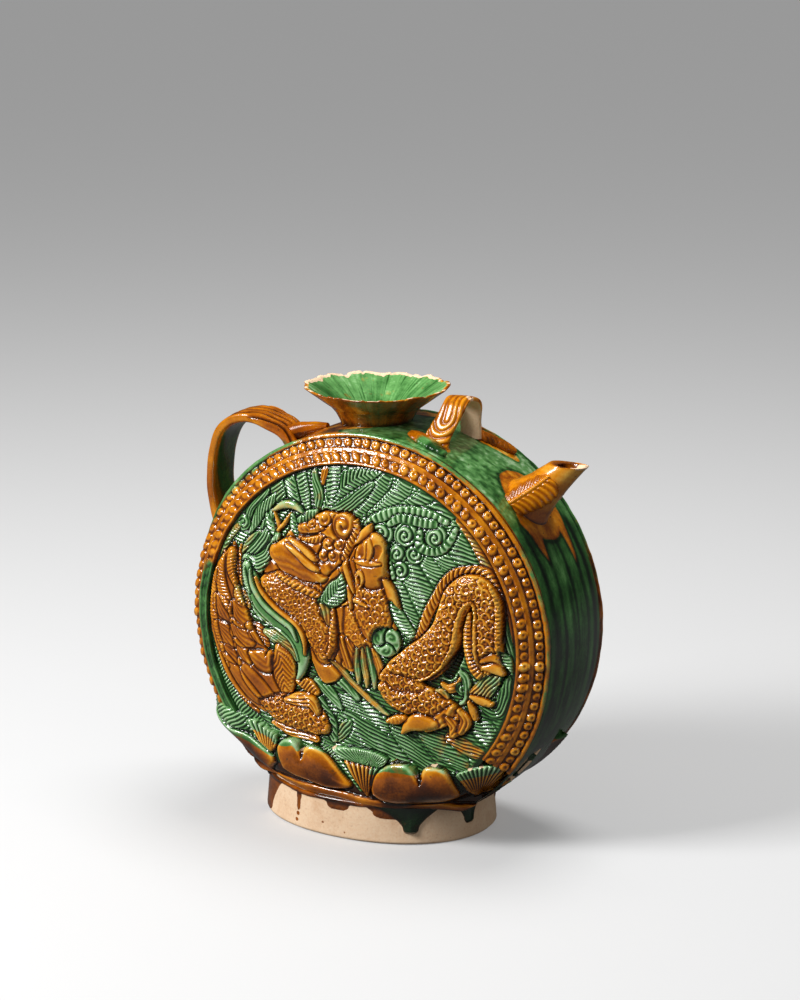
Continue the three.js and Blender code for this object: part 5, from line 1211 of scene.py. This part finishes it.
def calyx(cell, swell, shy):
    """Points, squares and masks of the front half of the flower, from end to end.

    The swell is how far its left end stands out further. Where shy is 1 the left end lies low and
    close to the wall, as the right one does.
    """
    turn = np.linspace(np.pi, 2 * np.pi, int(290 / cell))
    z = np.arange(FOOT_HEIGHT - 1.5, CALYX_TOP, cell)
    turn, z = np.meshgrid(turn, z)
    x, y, gap = calyx_outline(turn, z)
    x += FOOT_X / 2 * (1 - calyx_share(z))
    length = np.hypot(np.diff(x, axis=1), np.diff(y, axis=1))
    girth = np.concatenate([np.zeros((len(x), 1)), np.cumsum(length, axis=1)], axis=1)
    front = np.array([np.interp(0, row, reach) for row, reach in zip(x, girth)])
    girth = girth - front[:, None]
    full = girth[-1, -1]
    spread = np.abs(girth[:, -1:]) / full
    girth = girth * (1 + (1 / spread - 1) * step((np.abs(girth) - 35) / 60))
    height, amber, _ = lay_strokes(girth, z, np.zeros_like(z), PETALS)
    hug = np.maximum(step((girth - 80) / 14), step((-girth - (66 if shy else 98)) / 16))
    rim = rim_height(girth) + 0.35 * wobble(girth, z, 4.0) - 4.2 * shy * step((-girth - 66) / 14)
    steep = np.abs(rim_height(girth + 1.5) - rim_height(girth - 1.5)) / 3
    under = (z - rim) / np.sqrt(1 + steep**2)
    drop = step(under / 1.3 + 0.5)
    left_end = step((-girth - 62) / 16) * step((girth + 124) / 16)
    height = height + swell * left_end * np.exp(-(((z - 48) / 9) ** 2))
    height = height + 0.3 * np.exp(-(((under + 1.4) / 1.3) ** 2)) + 0.12 * wobble(girth, z, 6.0)
    close = 1 - (gap + 0.3) * hug * step((z - 26) / 12) / np.hypot(x, y)
    x, y = x * close, y * close
    dx, dy = np.gradient(x, axis=1), np.gradient(y, axis=1)
    size = np.hypot(dx, dy)
    lift = height * (1 - 0.7 * hug) * (1 - drop) - np.minimum(gap * (1 - hug) + 2.4, 9.0) * drop
    points = np.stack([x + dy / size * lift, y - dx / size * lift, z], -1)
    points[..., 1] = np.maximum(points[..., 1], -DEPTH_LIMIT)
    film_and_shade = pooled(height, cell) + 0.07 * wobble(girth, z, 5.0) - 0.12
    # Painted light and shade: the flower is painted paler from 36 mm up and darker towards the foot.
    film_and_shade += 0.14 * step((z - 36) / 8) - 0.24 * step((38 - z) / 12)
    # Painted shade: a dark band down the step where the rim drops to the wall, weaker where the flower hugs
    # the wall; the hugging parts are a little darker all over.
    film_and_shade -= 0.4 * np.exp(-(((under - 0.6) / 0.9) ** 2)) * (1 - 0.8 * hug) + 0.16 * hug
    chips = 0.8 * step((wobble(girth, z, 2.0) - 0.9 + 0.9 * hug) / 0.3)
    chips *= np.exp(-(((under + 0.4) / 0.9) ** 2)) * (np.abs(girth - 20) > 20)
    masks = mask_grid(amber + 0.15 * wobble(girth, z, 7.0), film_and_shade, chips)
    faces = grid_faces(*z.shape)
    faces = faces[(drop.ravel()[faces] < 0.999).any(axis=1)]
    return points.reshape(-1, 3), faces, masks.reshape(-1, 3)


points, faces, masks = calyx(CALYX_CELL, 5.2, 0)
make_piece("front_calyx", points, faces, masks, relief_glaze, (0, 0, 45), "amber_glaze", "front_shell")
points, faces, masks = calyx(0.6, 0, 1)
points[:, 0] -= FOOT_X * (1 - calyx_share(points[:, 2]))
points = half_turn(points)
make_piece("back_calyx", points, faces, masks, relief_glaze, (0, 0, 45), "amber_glaze", "back_shell")

# Foot ring
# A thick oval ring of buff clay, pared with a knife and luted under the body. The glaze stops at
# its top in a wavy line, with a few runs and heavy drops over the bare clay.
FOOT_HALF_LENGTH, FOOT_HALF_DEPTH = 61.0, 46.0
FOOT_WALL = 7.0
FOOT_SQUARE = 2.1
FOOT_TOP = 19.7
FOOT_FLARE = 1.7
# The ring's section from its inside down and round to its outside: inset as a share of the wall, height.
FOOT_PROFILE = [
    (1, FOOT_TOP), (1, 13), (1, 6), (1, 1.2), (0.93, 0.35), (0.8, 0), (0.5, 0), (0.2, 0), (0.07, 0.35),
    (0, 1.1),
]
# Each run over the foot: direction in degrees, lowest point, half width at the top and at the tip
# in degrees, and how far it stands out. Each spot: direction, height and radius.
FOOT_RUNS = [
    (307, 8.5, 19, 4, 2.2), (342, 10.5, 12, 4, 1.6), (213, 3.5, 19, 9, 0.25), (246.5, 11.5, 2.2, 1.2, 0.4),
    (298, 15.5, 18, 10, 0.5),
    (270, 17.0, 14, 6, 0.3), (130, 9, 12, 4, 1.4), (60, 12, 9, 4, 1.0), (20, 14, 8, 4, 0.6),
]
FOOT_SPOTS = [(246.2, 7.2, 0.9), (245.6, 4.0, 0.8), (262, 6.5, 0.35), (274, 3.5, 0.3)]


def foot():
    """Points and masks of the closed ring: oval sections from the inside over the rest face."""
    profile = np.array(FOOT_PROFILE)
    rise = np.linspace(1.8, FOOT_TOP, 40)
    inset = np.concatenate([profile[:, 0], np.zeros(len(rise)), [0.5, 1]])
    z = np.concatenate([profile[:, 1], rise, [FOOT_TOP, FOOT_TOP]])
    turn = np.linspace(0, 2 * np.pi, 721)[:-1]
    turn, inset = np.meshgrid(turn, inset)
    z = np.repeat(z[:, None], turn.shape[1], axis=1)
    degrees = np.degrees(turn)
    flare = FOOT_FLARE * z / FOOT_TOP
    x, y = oval(turn, FOOT_HALF_LENGTH - flare - 0.3, FOOT_HALF_DEPTH - flare - 0.3, FOOT_SQUARE)
    outer = inset < 0.01
    facets = 0.3 * wobble(90 * np.cos(turn), 90 * np.sin(turn), 14.0) + 0.12 * wobble(60 * turn, z, 5.0)
    line = 18.2 + 0.7 * wobble(70 * np.cos(turn), 70 * np.sin(turn), 9.0)
    bare = step((line - z) / 0.6 + 0.5)
    bulge = 0.5 * (1 - bare)
    amber, film_and_shade = np.ones_like(z), 0.42 - 0.25 * np.exp(-(((z - line) / 1.0) ** 2))
    for at, low, wide, narrow, out in FOOT_RUNS:
        away = np.abs((degrees - at + 180) % 360 - 180)
        share = np.clip((z - low) / (FOOT_TOP - low), 0, 1)
        half = narrow + (wide - narrow) * share**1.6
        tip = np.clip((z - low) / 3.0 + 1, 0, 1)
        inside = 1 - (away / (half * np.sqrt(np.clip(1 - (1 - tip) ** 2, 0.01, 1))))
        cover = step(inside / 0.25 + 0.5) * step((z - low + 3.0) / 0.8)
        bare = np.minimum(bare, 1 - cover)
        dome = np.sqrt(np.clip(inside, 0, 1)) * step((z - low + 3.0) / 2.0)
        bulge = np.maximum(bulge, out * dome)
        if out > 1:
            amber -= 0.85 * cover * (0.4 + 0.6 * dome)
        film_and_shade -= (0.32 if out > 1 else 0.08) * cover
    for at, up, wide in FOOT_SPOTS:
        away = np.hypot(((degrees - at + 180) % 360 - 180) * 0.9, z - up)
        bare = np.minimum(bare, step((away - wide) / 0.35))
    bare = np.where(outer, bare, 1.0)
    lift = np.where(outer, facets + bulge, 0.0) - FOOT_WALL * inset
    slope_x, slope_y = np.gradient(x, axis=1), np.gradient(y, axis=1)
    slope_x[:, 0] = slope_x[:, -1] = 0
    slope_y[:, 0] = slope_y[:, -1] = 1
    size = np.hypot(slope_x, slope_y)
    points = np.stack([x + FOOT_X + slope_y / size * lift, y - slope_x / size * lift, z], -1)
    return points, mask_grid(np.clip(amber, 0, 1), film_and_shade, bare)


foot_clay = glazed("foot_clay", 0.15, 0.35)
closed_piece("foot", *foot(), foot_clay, (FOOT_X, 0, 60), "bare_clay", "foot_ring")

# Mouth cup
# A flared funnel thrown apart and luted on the shoulder. Its rim was pinched into shallow lobes and
# is chipped down to the clay at the back; green glaze fills the inside, amber runs down the outside.
MOUTH_LOBES = 11
CUP_OUTSIDE = [
    (17.4, 199.5), (17.6, 202), (18.6, 204), (20.3, 207), (22.6, 209.7), (25.8, 211.9), (29, 214.2),
    (32.3, 216.6), (34.8, 218.4),
    (35.8, 219.2), (35.9, 219.7), (35.3, 219.9), (34.3, 219.5),
]
CUP_INSIDE = [
    (32.5, 218.2), (28.5, 215.8), (24.5, 213.2), (20.5, 210.3), (16.8, 207), (14.2, 204), (12.7, 201),
    (12.5, 197),
]
# Where along the profile its highest place lies, and the height that the rim keeps under.
RIM_SHARE = 0.472
RIM_LIMIT = 219.98


def turned_sheet(profile, columns, rows):
    """Radius, height and direction grids of a form turned about an upright axis from profile points."""
    points = np.array(profile, float)
    reach = np.concatenate([[0], np.cumsum(np.hypot(*np.diff(points, axis=0).T))])
    at = np.linspace(0, reach[-1], rows)
    turn = np.linspace(0, 2 * np.pi, columns + 1)[:-1]
    turn, at = np.meshgrid(turn, at)
    return np.interp(at, reach, points[:, 0]), np.interp(at, reach, points[:, 1]), turn, at / reach[-1]


def cup():
    """Points and masks of the cup: a turned profile whose radius waves with its height squared."""
    radius, z, turn, share = turned_sheet(CUP_OUTSIDE + CUP_INSIDE, 480, 110)
    up = np.clip((z - 202) / 17.5, 0, 1) ** 2
    ring = (60 * np.cos(turn), 60 * np.sin(turn))
    wave = 0.9 * np.cos(MOUTH_LOBES * turn) + 0.45 * wobble(*ring, 7.0)
    chips = step(wobble(*ring, 3.0) * 1.2 + 0.2 * wobble(*ring, 1.3) - 0.2)
    lip = np.exp(-(((z - 219.6) / 1.5) ** 2))
    radius = radius + up * np.minimum(wave, 0.6) * 0.7 - 0.6 * chips * lip
    inside = share > RIM_SHARE
    ribs = 0.35 * ridge(46 * turn / (2 * np.pi) + 0.4 * wobble(*ring, 9.0)) * up * inside
    radius = radius - ribs
    ends = np.cos(turn - np.radians(28)) ** 2
    z = z + up * (0.45 * wave + 0.3 * ends - 0.5 * (1 - ends)) - 0.7 * chips * lip
    z = np.minimum(z, RIM_LIMIT)
    points = np.stack([MOUTH_X + radius * np.cos(turn), radius * np.sin(turn), z], -1)
    edge = np.exp(-(((share - RIM_SHARE + 0.006) / 0.016) ** 2))
    olive = np.exp(-(((turn - np.radians(325)) / 0.35) ** 2)) * (0.6 + 0.3 * wobble(*ring, 3.0))
    amber = np.where(inside, 0.24 + 0.6 * edge, 1 - 0.25 * edge * wobble(*ring, 4.0) - 0.45 * olive)
    streak = wobble(105 * turn, z * 0.3, 2.2)
    green = 0.70 + 0.10 * streak - 0.34 * step((streak - 0.1) / 0.8) * step((z - 206) / 4)
    # Painted light and shade inside the cup: paler near the rim and darker deeper down.
    green += 0.10 * step((z - 215) / 4) - 0.2 * step((210 - z) / 9) + 0.08 * wobble(*ring, 6.0)
    film_and_shade = np.where(inside, green, 0.37 + 0.06 * streak + 0.12 * up)
    film_and_shade -= 0.42 * step((205.5 - z) / 4.0) * ~inside
    film_and_shade += 0.12 * edge + 0.2 * edge * wobble(*ring, 2.0)
    back = step((np.cos(turn - np.radians(125)) - 0.1) / 0.3)
    depth = 0.024 + 0.010 * wobble(*ring, 3.5) + 0.009 * wobble(*ring, 1.4)
    bare = back * step((depth - np.abs(share - RIM_SHARE)) / 0.012 + 0.5)
    bare += 0.9 * edge * step((wobble(*ring, 2.4) - 0.3) / 0.3)
    gloss = np.where(inside, 0.12, 1.0)
    masks = mask_grid(np.clip(amber, 0, 1), film_and_shade, np.clip(bare, 0, 1), gloss)
    return points, masks


cup_glaze = glazed("cup_glaze", 0.45, 0.25)
closed_piece("cup", *cup(), cup_glaze, (MOUTH_X, 0, 208), "amber_glaze", "mouth_cup")

# Handle
# A flat strap pulled from a roll of clay, bent into an ear and luted to the disc at both ends. It
# keeps long grooves from the fingers along its outside; the shaded inside is thinly glazed green.
HANDLE_LINE = [
    (-91.8, 134), (-97.6, 145.5), (-100.4, 157), (-100.6, 167), (-98.8, 179), (-95.0, 189), (-88.6, 195.4),
    (-80.8, 198.0),
    (-73.6, 197.9), (-67, 195.6), (-60, 192.4), (-54.5, 186.5),
]
TONGUE_GLOSS, LOOP_GLOSS, LEAF_GLOSS = 0.15, 0.5, 0.4
TONGUE_LINE = [(-61, 188.6), (-55, 191.6), (-48, 193.8), (-42, 195.5), (-37.4, 196.4)]


def bent_bar(line, width, thickness, rows, columns, square, grain):
    """A closed bar swept along a line in a plane, its oval section drawn out square.

    The line gives place along and up. Returns along, across and up grids with their share and direction.
    """
    path = smooth_path([(u, v, 1) for u, v in line], 16)[:, :2]
    reach = np.concatenate([[0], np.cumsum(np.hypot(*np.diff(path, axis=0).T))])
    at = np.linspace(0, reach[-1], rows)
    place = np.stack([np.interp(at, reach, path[:, i]) for i in range(2)], -1)
    slope = np.gradient(place, axis=0)
    slope /= np.linalg.norm(slope, axis=1)[:, None]
    share = at / reach[-1]
    turn = np.linspace(0, 2 * np.pi, columns + 1)[:-1]
    across, out = oval(turn[None, :], 1.0, 1.0, square)
    across = across * width(share)[:, None] / 2
    out = out * thickness(share)[:, None] / 2
    out = out + grain(share[:, None], across, out)
    u = place[:, :1] - slope[:, 1:] * out
    v = place[:, 1:] + slope[:, :1] * out
    return u, np.broadcast_to(across, u.shape), v, np.broadcast_to(share[:, None], u.shape), out


def strap_masks(across, share, out, half, amber_inside):
    """Amber and thinness of a strap: pale edges where the glaze thins, darker middle, and a green-brown
    inside darkened with painted shade.
    """
    edge = step((np.abs(across) / half - 0.62) / 0.3)
    inside = step(0.5 - out / 1.2)
    stain = wobble(share * 90, across, 6.0)
    # Painted shade: the inside face, turned to the body, is painted darker.
    film_and_shade = 0.60 + 0.10 * edge + 0.08 * stain - 0.36 * inside * (1 - edge)
    amber = 1 - inside * (1 - amber_inside) * (1 - 0.6 * edge)
    return amber, film_and_shade


def bar_piece(name, x, y, z, masks, middle, node):
    """Builds a swept bar with both ends closed: its first and last rings are drawn in to their middles."""
    points = np.stack([x, y, z], -1)
    shrink = np.array([0.02, 0.6])[:, None, None]
    ends = []
    for ring, share in ((points[:1], shrink), (points[-1:], shrink[::-1])):
        centre = ring.mean(axis=1, keepdims=True)
        ends.append(centre + (ring - centre) * share)
    points = np.concatenate([ends[0], points, ends[1]])
    masks = np.concatenate([masks[:1], masks[:1], masks, masks[-1:], masks[-1:]])
    closed_piece(name, points, masks, strap_glaze, middle, "amber_glaze", node)


def handle_grain(share, across, out):
    """The unevenness of hand-pulled clay and, near the high end, deep grooves that draw together."""
    lines = 0.16 * np.cos(across * 1.1 + 1.4 * np.sin(share * 9))
    uneven = 0.2 * wobble(share * 110, across, 5.0)
    near = step((share - 0.66) / 0.12)
    veins = near * ridge((across / (1.25 - 0.55 * near * share) + 1.6 * np.sin(share * 19)) / 6.0, 3.0)
    return np.where(out > 0, lines + uneven - 1.0 * veins, 0.5 * uneven)


strap_glaze = glazed("strap_glaze", 0.25, 0.2, 0.15)
x, y, z, share, out = bent_bar(
    HANDLE_LINE,
    lambda s: 22.2 + 0.8 * np.cos(9 * s) - 3.0 * step((s - 0.8) / 0.2),
    lambda s: 5.9 + 0.4 * np.cos(2 * np.pi * s),
    260, 130, 4.0, handle_grain,
)
amber, film_and_shade = strap_masks(y, share, out, 11.1, 0.25)
film_and_shade += 0.45 * np.minimum(handle_grain(share, y, out), 0)
film_and_shade -= 0.35 * step((share - 0.9) / 0.08) * step((y + 4) / 3)
amber = np.minimum(amber, 1 - 0.5 * step((0.10 - share) / 0.08) * (out < 0))
bar_piece("handle", x, y, z, mask_grid(amber, film_and_shade), (-75, 0, 170), "handle_strap")

# Tongue
# The tapered end of the handle's clay, pressed down with a thumb towards the mouth.


def tongue_grain(share, across, out):
    """The lines that the thumb left along the tongue."""
    return 0.3 * np.cos(across * 1.9) + 0.15 * wobble(share * 30, across, 3.0)


x, y, z, share, out = bent_bar(
    TONGUE_LINE,
    lambda s: 12.0 - 8.6 * s**1.2,
    lambda s: 9.2 - 6.8 * s**1.5,
    90, 60, 3.4, tongue_grain,
)
# Painted shade: the tongue's underside, over the shoulder, is painted darker.
film_and_shade = 0.5 + 0.1 * wobble(share * 30, y, 3.0) - 0.25 * step(-out)
masks = mask_grid(1.0, film_and_shade, 0.0, TONGUE_GLOSS)
bar_piece("tongue", x, y, z, masks, (-48, 0, 194), "handle_tongue")

# Loop
# A small strap bent like a tent over the shoulder, carved with wavy lines and standing on leaf
# pads. A cord through it once held the stopper; its inner face is bare clay.
LOOP_X = 30.3
LOOP_LINE = [
    (-15.4, 195.5), (-14.2, 200.5), (-12.0, 206), (-9.6, 211.5), (-7.2, 216), (-4.0, 218.0), (2.0, 217.3),
    (7.6, 215.2), (11.2, 210.5),
    (12.8, 203), (13.2, 195.5),
]


def loop_grain(share, across, out):
    """Grooves carved like the folds of a cloth, S-shaped and closing to loops at the near foot."""
    middle = 1.6 * np.sin(share * 9 + 0.4)
    fold = np.hypot(np.minimum(share - 0.24, 0) * 42, across - middle)
    torn = wobble(share * 60, across, 5.0)
    fold = fold / 3.1 + 0.5 + 0.3 * wobble(share * 60, across, 3.4) + 0.25 * torn
    lines = 0.12 * wobble(share * 40, across, 2.0) - (0.65 + 0.35 * torn) * ridge(fold, 2.0)
    return np.where(out > 0, lines, 0.1 * wobble(share * 40, across, 4.0))


y, x, z, share, out = bent_bar(
    LOOP_LINE,
    lambda s: 13.6 - 1.2 * step(s / 0.42) - 1.4 * step((s - 0.6) / 0.3),
    lambda s: 3.2 + 0.3 * np.cos(2 * np.pi * s),
    220, 120, 3.6, loop_grain,
)
groove = loop_grain(share, x, out)
film_and_shade = 0.72 + 0.42 * groove + 0.06 * wobble(share * 40, x, 3.0)
bare = step((0.35 - out) / 0.5) * step((0.9 - np.abs(x) / 6.8) / 0.1)
chip = np.exp(-(((x - 5.2) / 2.0) ** 2) - (((share - 0.47) / 0.035) ** 2))
masks = mask_grid(1.0, film_and_shade, np.clip(bare * 0.95 + chip * 1.2, 0, 1), LOOP_GLOSS)
x = x + LOOP_X + 6.6 * step(share / 0.42) - 1.6 * step((share - 0.6) / 0.3)
bar_piece("loop", x, y, z, masks, (LOOP_X, 0, 205), "loop_strap")

# Spout
# A short tube drawn to a narrow tip and cut level, flared where it is luted to the shoulder, with
# its bore open into the body. The tip is worn to the clay.
SPOUT_TIP = 191.1
SPOUT_START, SPOUT_END = 96.5, 139.0
# Its radius and the distance of that section from the disc's centre.
SPOUT_PROFILE = [
    (15.2, SPOUT_START), (13.4, 99), (11.6, 103), (9.6, 110), (8.2, 118), (7.1, 126), (6.5, 132), (6.3, 137),
]
spout_out = np.array([np.cos(SPOUT_TURN), 0, np.sin(SPOUT_TURN)])
spout_up = np.array([-np.sin(SPOUT_TURN), 0, np.cos(SPOUT_TURN)])
spout_side = np.array([0.0, 1.0, 0.0])


def on_spout(along, radius, turn):
    """A point round the spout's axis at a distance from the disc's centre."""
    up, side = radius * np.cos(turn), radius * np.sin(turn)
    place = along[..., None] * spout_out + up[..., None] * spout_up + side[..., None] * spout_side
    return place + DISC_CENTRE


def level_cut(along, radius, turn, height):
    """The distance along the spout at which a point of its wall reaches a height."""
    most = (height - CENTRE_HEIGHT - radius * np.cos(turn) * np.cos(SPOUT_TURN)) / np.sin(SPOUT_TURN)
    return np.minimum(along, most)


profile = np.array(SPOUT_PROFILE)
turn = np.linspace(0, 2 * np.pi, 121)[:-1]
at = np.linspace(SPOUT_START, SPOUT_END, 90)
turn_grid, along = np.meshgrid(turn, at)
radius = np.interp(along, profile[:, 1], profile[:, 0])
radius += 0.12 * wobble(along, 9 * np.cos(turn_grid) + 7 * np.sin(turn_grid), 4.0)
far = level_cut(along, radius, turn_grid, SPOUT_TIP)
radius = np.interp(far, profile[:, 1], profile[:, 0]) + 0.12 * wobble(far, 9 * np.cos(turn_grid), 4.0)
outer = on_spout(far, radius, turn_grid)
inner_at = np.linspace(SPOUT_END, SPOUT_START - 2.5, 40)
turn_in, along_in = np.meshgrid(turn, inner_at)
bore = BORE_RADIUS + 0.5 * step((along_in - 128) / 6)
inner = on_spout(level_cut(along_in, bore, turn_in, SPOUT_TIP - 0.15), bore, turn_in)
points = np.concatenate([outer, inner])
tip = step((outer[..., 2] - SPOUT_TIP + 1.2) / 0.8)
front_chip = tip * step((np.cos(turn_grid - np.radians(185)) - 0.5) / 0.3)
# Painted light: the underside of the spout beyond its flare is painted paler.
film_and_shade = 0.64 + 0.14 * step(0.1 - np.cos(turn_grid)) * step((along - 103) / 6)
# Painted shade: the root of the spout, where it meets the shoulder, is painted dark.
film_and_shade += 0.09 * wobble(along, 9 * np.cos(turn_grid), 6.0) - 0.5 * step((101.0 - along) / 3.0)
film_and_shade += 0.05 * wobble(2.2 * along, 20 * np.cos(turn_grid) + 12 * np.sin(turn_grid), 2.0)
chipped = 0.35 + 0.65 * step((np.cos(turn_in - np.radians(185)) - 0.3) / 0.3)
masks_in = mask_grid(1.0, 0.3, step((along_in - 127) / 4) * chipped)
masks = np.concatenate([mask_grid(1.0, film_and_shade, np.clip(front_chip, 0, 1)), masks_in])
middle = tuple(115 * spout_out + DISC_CENTRE)
closed_piece("spout", points, masks, strap_glaze, middle, "amber_glaze", "spout_tube")

# Sprigs
# Leaves pressed in small moulds and stuck on with slip: two on the flanks of the spout with a
# corded midrib and curved veins, and one beside each leg of the loop.


LEAF_LEAN = np.radians(-13)
# The distance of the loop's pads from the disc's centre and from its middle plane.
PAD_RADIUS, PAD_DEPTH = 100.2, 20.5


def leaf(name, middle, along, outward, length, width, thickness, taper, veined, paint, slot, node):
    """A closed pad round its middle: a blunt oval, its outer face veined on both sides of a cord."""
    along, outward = np.array(along, float), np.array(outward, float)
    along /= np.linalg.norm(along)
    outward -= outward @ along * along
    outward /= np.linalg.norm(outward)
    sideways = np.cross(outward, along)
    turn = np.linspace(0, 2 * np.pi, 201)[:-1]
    tilt = np.linspace(0, np.pi, 120)
    turn, tilt = np.meshgrid(turn, tilt)
    u = -np.cos(tilt)
    share = (u + 1) / 2
    ring = np.sin(tilt) ** 0.62
    half = width / 2 * ring * (1 - taper * u) * (1 + 0.04 * np.cos(u * 22))
    across, out = np.cos(turn) * half, np.sin(turn) * thickness / 2 * ring
    face = step(np.sin(turn) * 2)
    place = u * length / 2
    away = across * np.sign(sideways[2]) - width * (0.08 + 0.26 * share**2)
    cord = np.exp(-((away / (0.085 * width)) ** 2)) * (0.6 + 0.5 * ridge((place + 0.6 * away) / 1.35))
    fine, broad = ridge(0.7 * (place - away) / 1.3), ridge(0.7 * (place + away + 0.05 * away**2) / 2.0)
    veins = np.where(away > 0, 0.4 * fine, broad) * step((np.abs(away) - 0.07 * width) / 0.9)
    grain = face * (1.0 * cord + 0.75 * veins - 0.3) * step(ring / 0.4) * veined
    out = out + grain * thickness / 5.5
    points = np.array(middle, float) + place[..., None] * along + across[..., None] * sideways
    points = points + out[..., None] * outward
    amber, film_and_shade = paint(share, across, grain)
    masks = mask_grid(np.clip(amber, 0, 1), film_and_shade, 0.0, LEAF_GLOSS)
    closed_piece(name, points, masks, strap_glaze, middle, slot, node)


def spout_leaf_paint(share, across, grain):
    """Amber all over, dark between the veins, and black at the root as painted shade where it meets the
    shoulder.
    """
    return np.ones_like(share), 0.56 + 0.36 * grain - 0.5 * step((0.12 - share) / 0.1)


def front_pad_paint(share, across, grain):
    """Amber, then yellowish green, then a thick dark end, from left to right."""
    dark = step((share - 0.55) / 0.12) * step((0.97 - share) / 0.06)
    return 0.9 - 0.75 * share + 0.25 * wobble(share * 20, across, 2.5), 0.55 + 0.3 * grain - 0.33 * dark


def back_pad_paint(share, across, grain):
    """Amber-brown."""
    stain = wobble(share * 25, across, 3.0)
    return 0.95 + 0.2 * stain, 0.43 + 0.3 * grain + 0.1 * stain


for name, side, long, off in (("front", -1, 31.0, 11.4), ("back", 1, 26.0, 10.8)):
    flank = (90.9 + long / 2) * spout_out + side * off * spout_side + 0.4 * spout_up + DISC_CENTRE
    lean = np.cos(LEAF_LEAN) * spout_out + np.sin(LEAF_LEAN) * spout_up - side * 0.34 * spout_side
    leaf(
        f"spout_leaf_{name}", flank, lean, (0.1, side, 0.1), long, 14.6, 6.0, -0.2, 1.0, spout_leaf_paint,
        "amber_glaze", f"spout_leaf_{name}",
    )
for name, side, angle, paint in (("front", -1, 73, front_pad_paint), ("back", 1, 64, back_pad_paint)):
    turn = np.radians(angle)
    up = np.array([np.cos(turn), 0, np.sin(turn)])
    spot = PAD_RADIUS * up + (0, side * PAD_DEPTH, CENTRE_HEIGHT)
    lean = np.array([np.sin(turn), side * 0.35, -np.cos(turn)])
    leaf(
        f"loop_leaf_{name}", spot, lean, up, 25, 10, 4.4, 0.25, 0.35, paint, "green_glaze",
        f"loop_leaf_{name}",
    )


# Inner wall
# The bare inside of the two halves, joined and wiped, with the round throat that opens up into the
# mouth and the bore that opens into the spout.
HOLLOW_FLOOR = 25.6
# How much wider the holes in the inner wall are than the throat and the bore.
HOLE_ROOM = 4.0
# Half of the hollow's section as radius and depth, from the middle of a face to the seam.
HOLLOW_PROFILE = [
    (0.0, 37.3), (21.2, 37.0), (42.4, 35.9), (60, 33.0), (79.3, 28.95), (93.5, 24.7), (93.5, 12), (93.5, 0),
]
other_half = [(radius, -depth) for radius, depth in HOLLOW_PROFILE[-2::-1]]
radius, depth, turn, share = turned_sheet(HOLLOW_PROFILE + other_half, 180, 110)
points = np.stack([radius * np.cos(turn), depth, CENTRE_HEIGHT + radius * np.sin(turn)], -1)
points[..., 2] = np.maximum(points[..., 2], HOLLOW_FLOOR)
faces = grid_faces(*turn.shape, closed=True)
hole = np.hypot(points[..., 0] - MOUTH_X, depth) < THROAT_RADIUS + HOLE_ROOM
hole &= points[..., 2] > CENTRE_HEIGHT
away = points - DISC_CENTRE
along = away @ spout_out
aside = np.linalg.norm(away - along[..., None] * spout_out, axis=-1)
hole |= (aside < BORE_RADIUS + HOLE_ROOM) & (along > 0)
faces = faces[~hole.ravel()[faces].all(axis=1)]
masks = np.tile([1.0, 0.4, 1.0], (points.size // 3, 1))
make_piece(
    "inner_wall", points.reshape(-1, 3), faces, masks, foot_clay, DISC_CENTRE, "bare_clay", "front_shell",
    "back_shell", inward=True,
)
radius, z, turn, share = turned_sheet([(THROAT_RADIUS, 193.0), (THROAT_RADIUS, 198.5)], 96, 8)
points = np.stack([MOUTH_X + radius * np.cos(turn), radius * np.sin(turn), z], -1)
masks = np.broadcast_to([0.0, 0.25, 0.0], points.shape)
closed_piece("throat", points, masks, cup_glaze, (MOUTH_X, 0, 196), "bare_clay", "front_shell", inward=True)
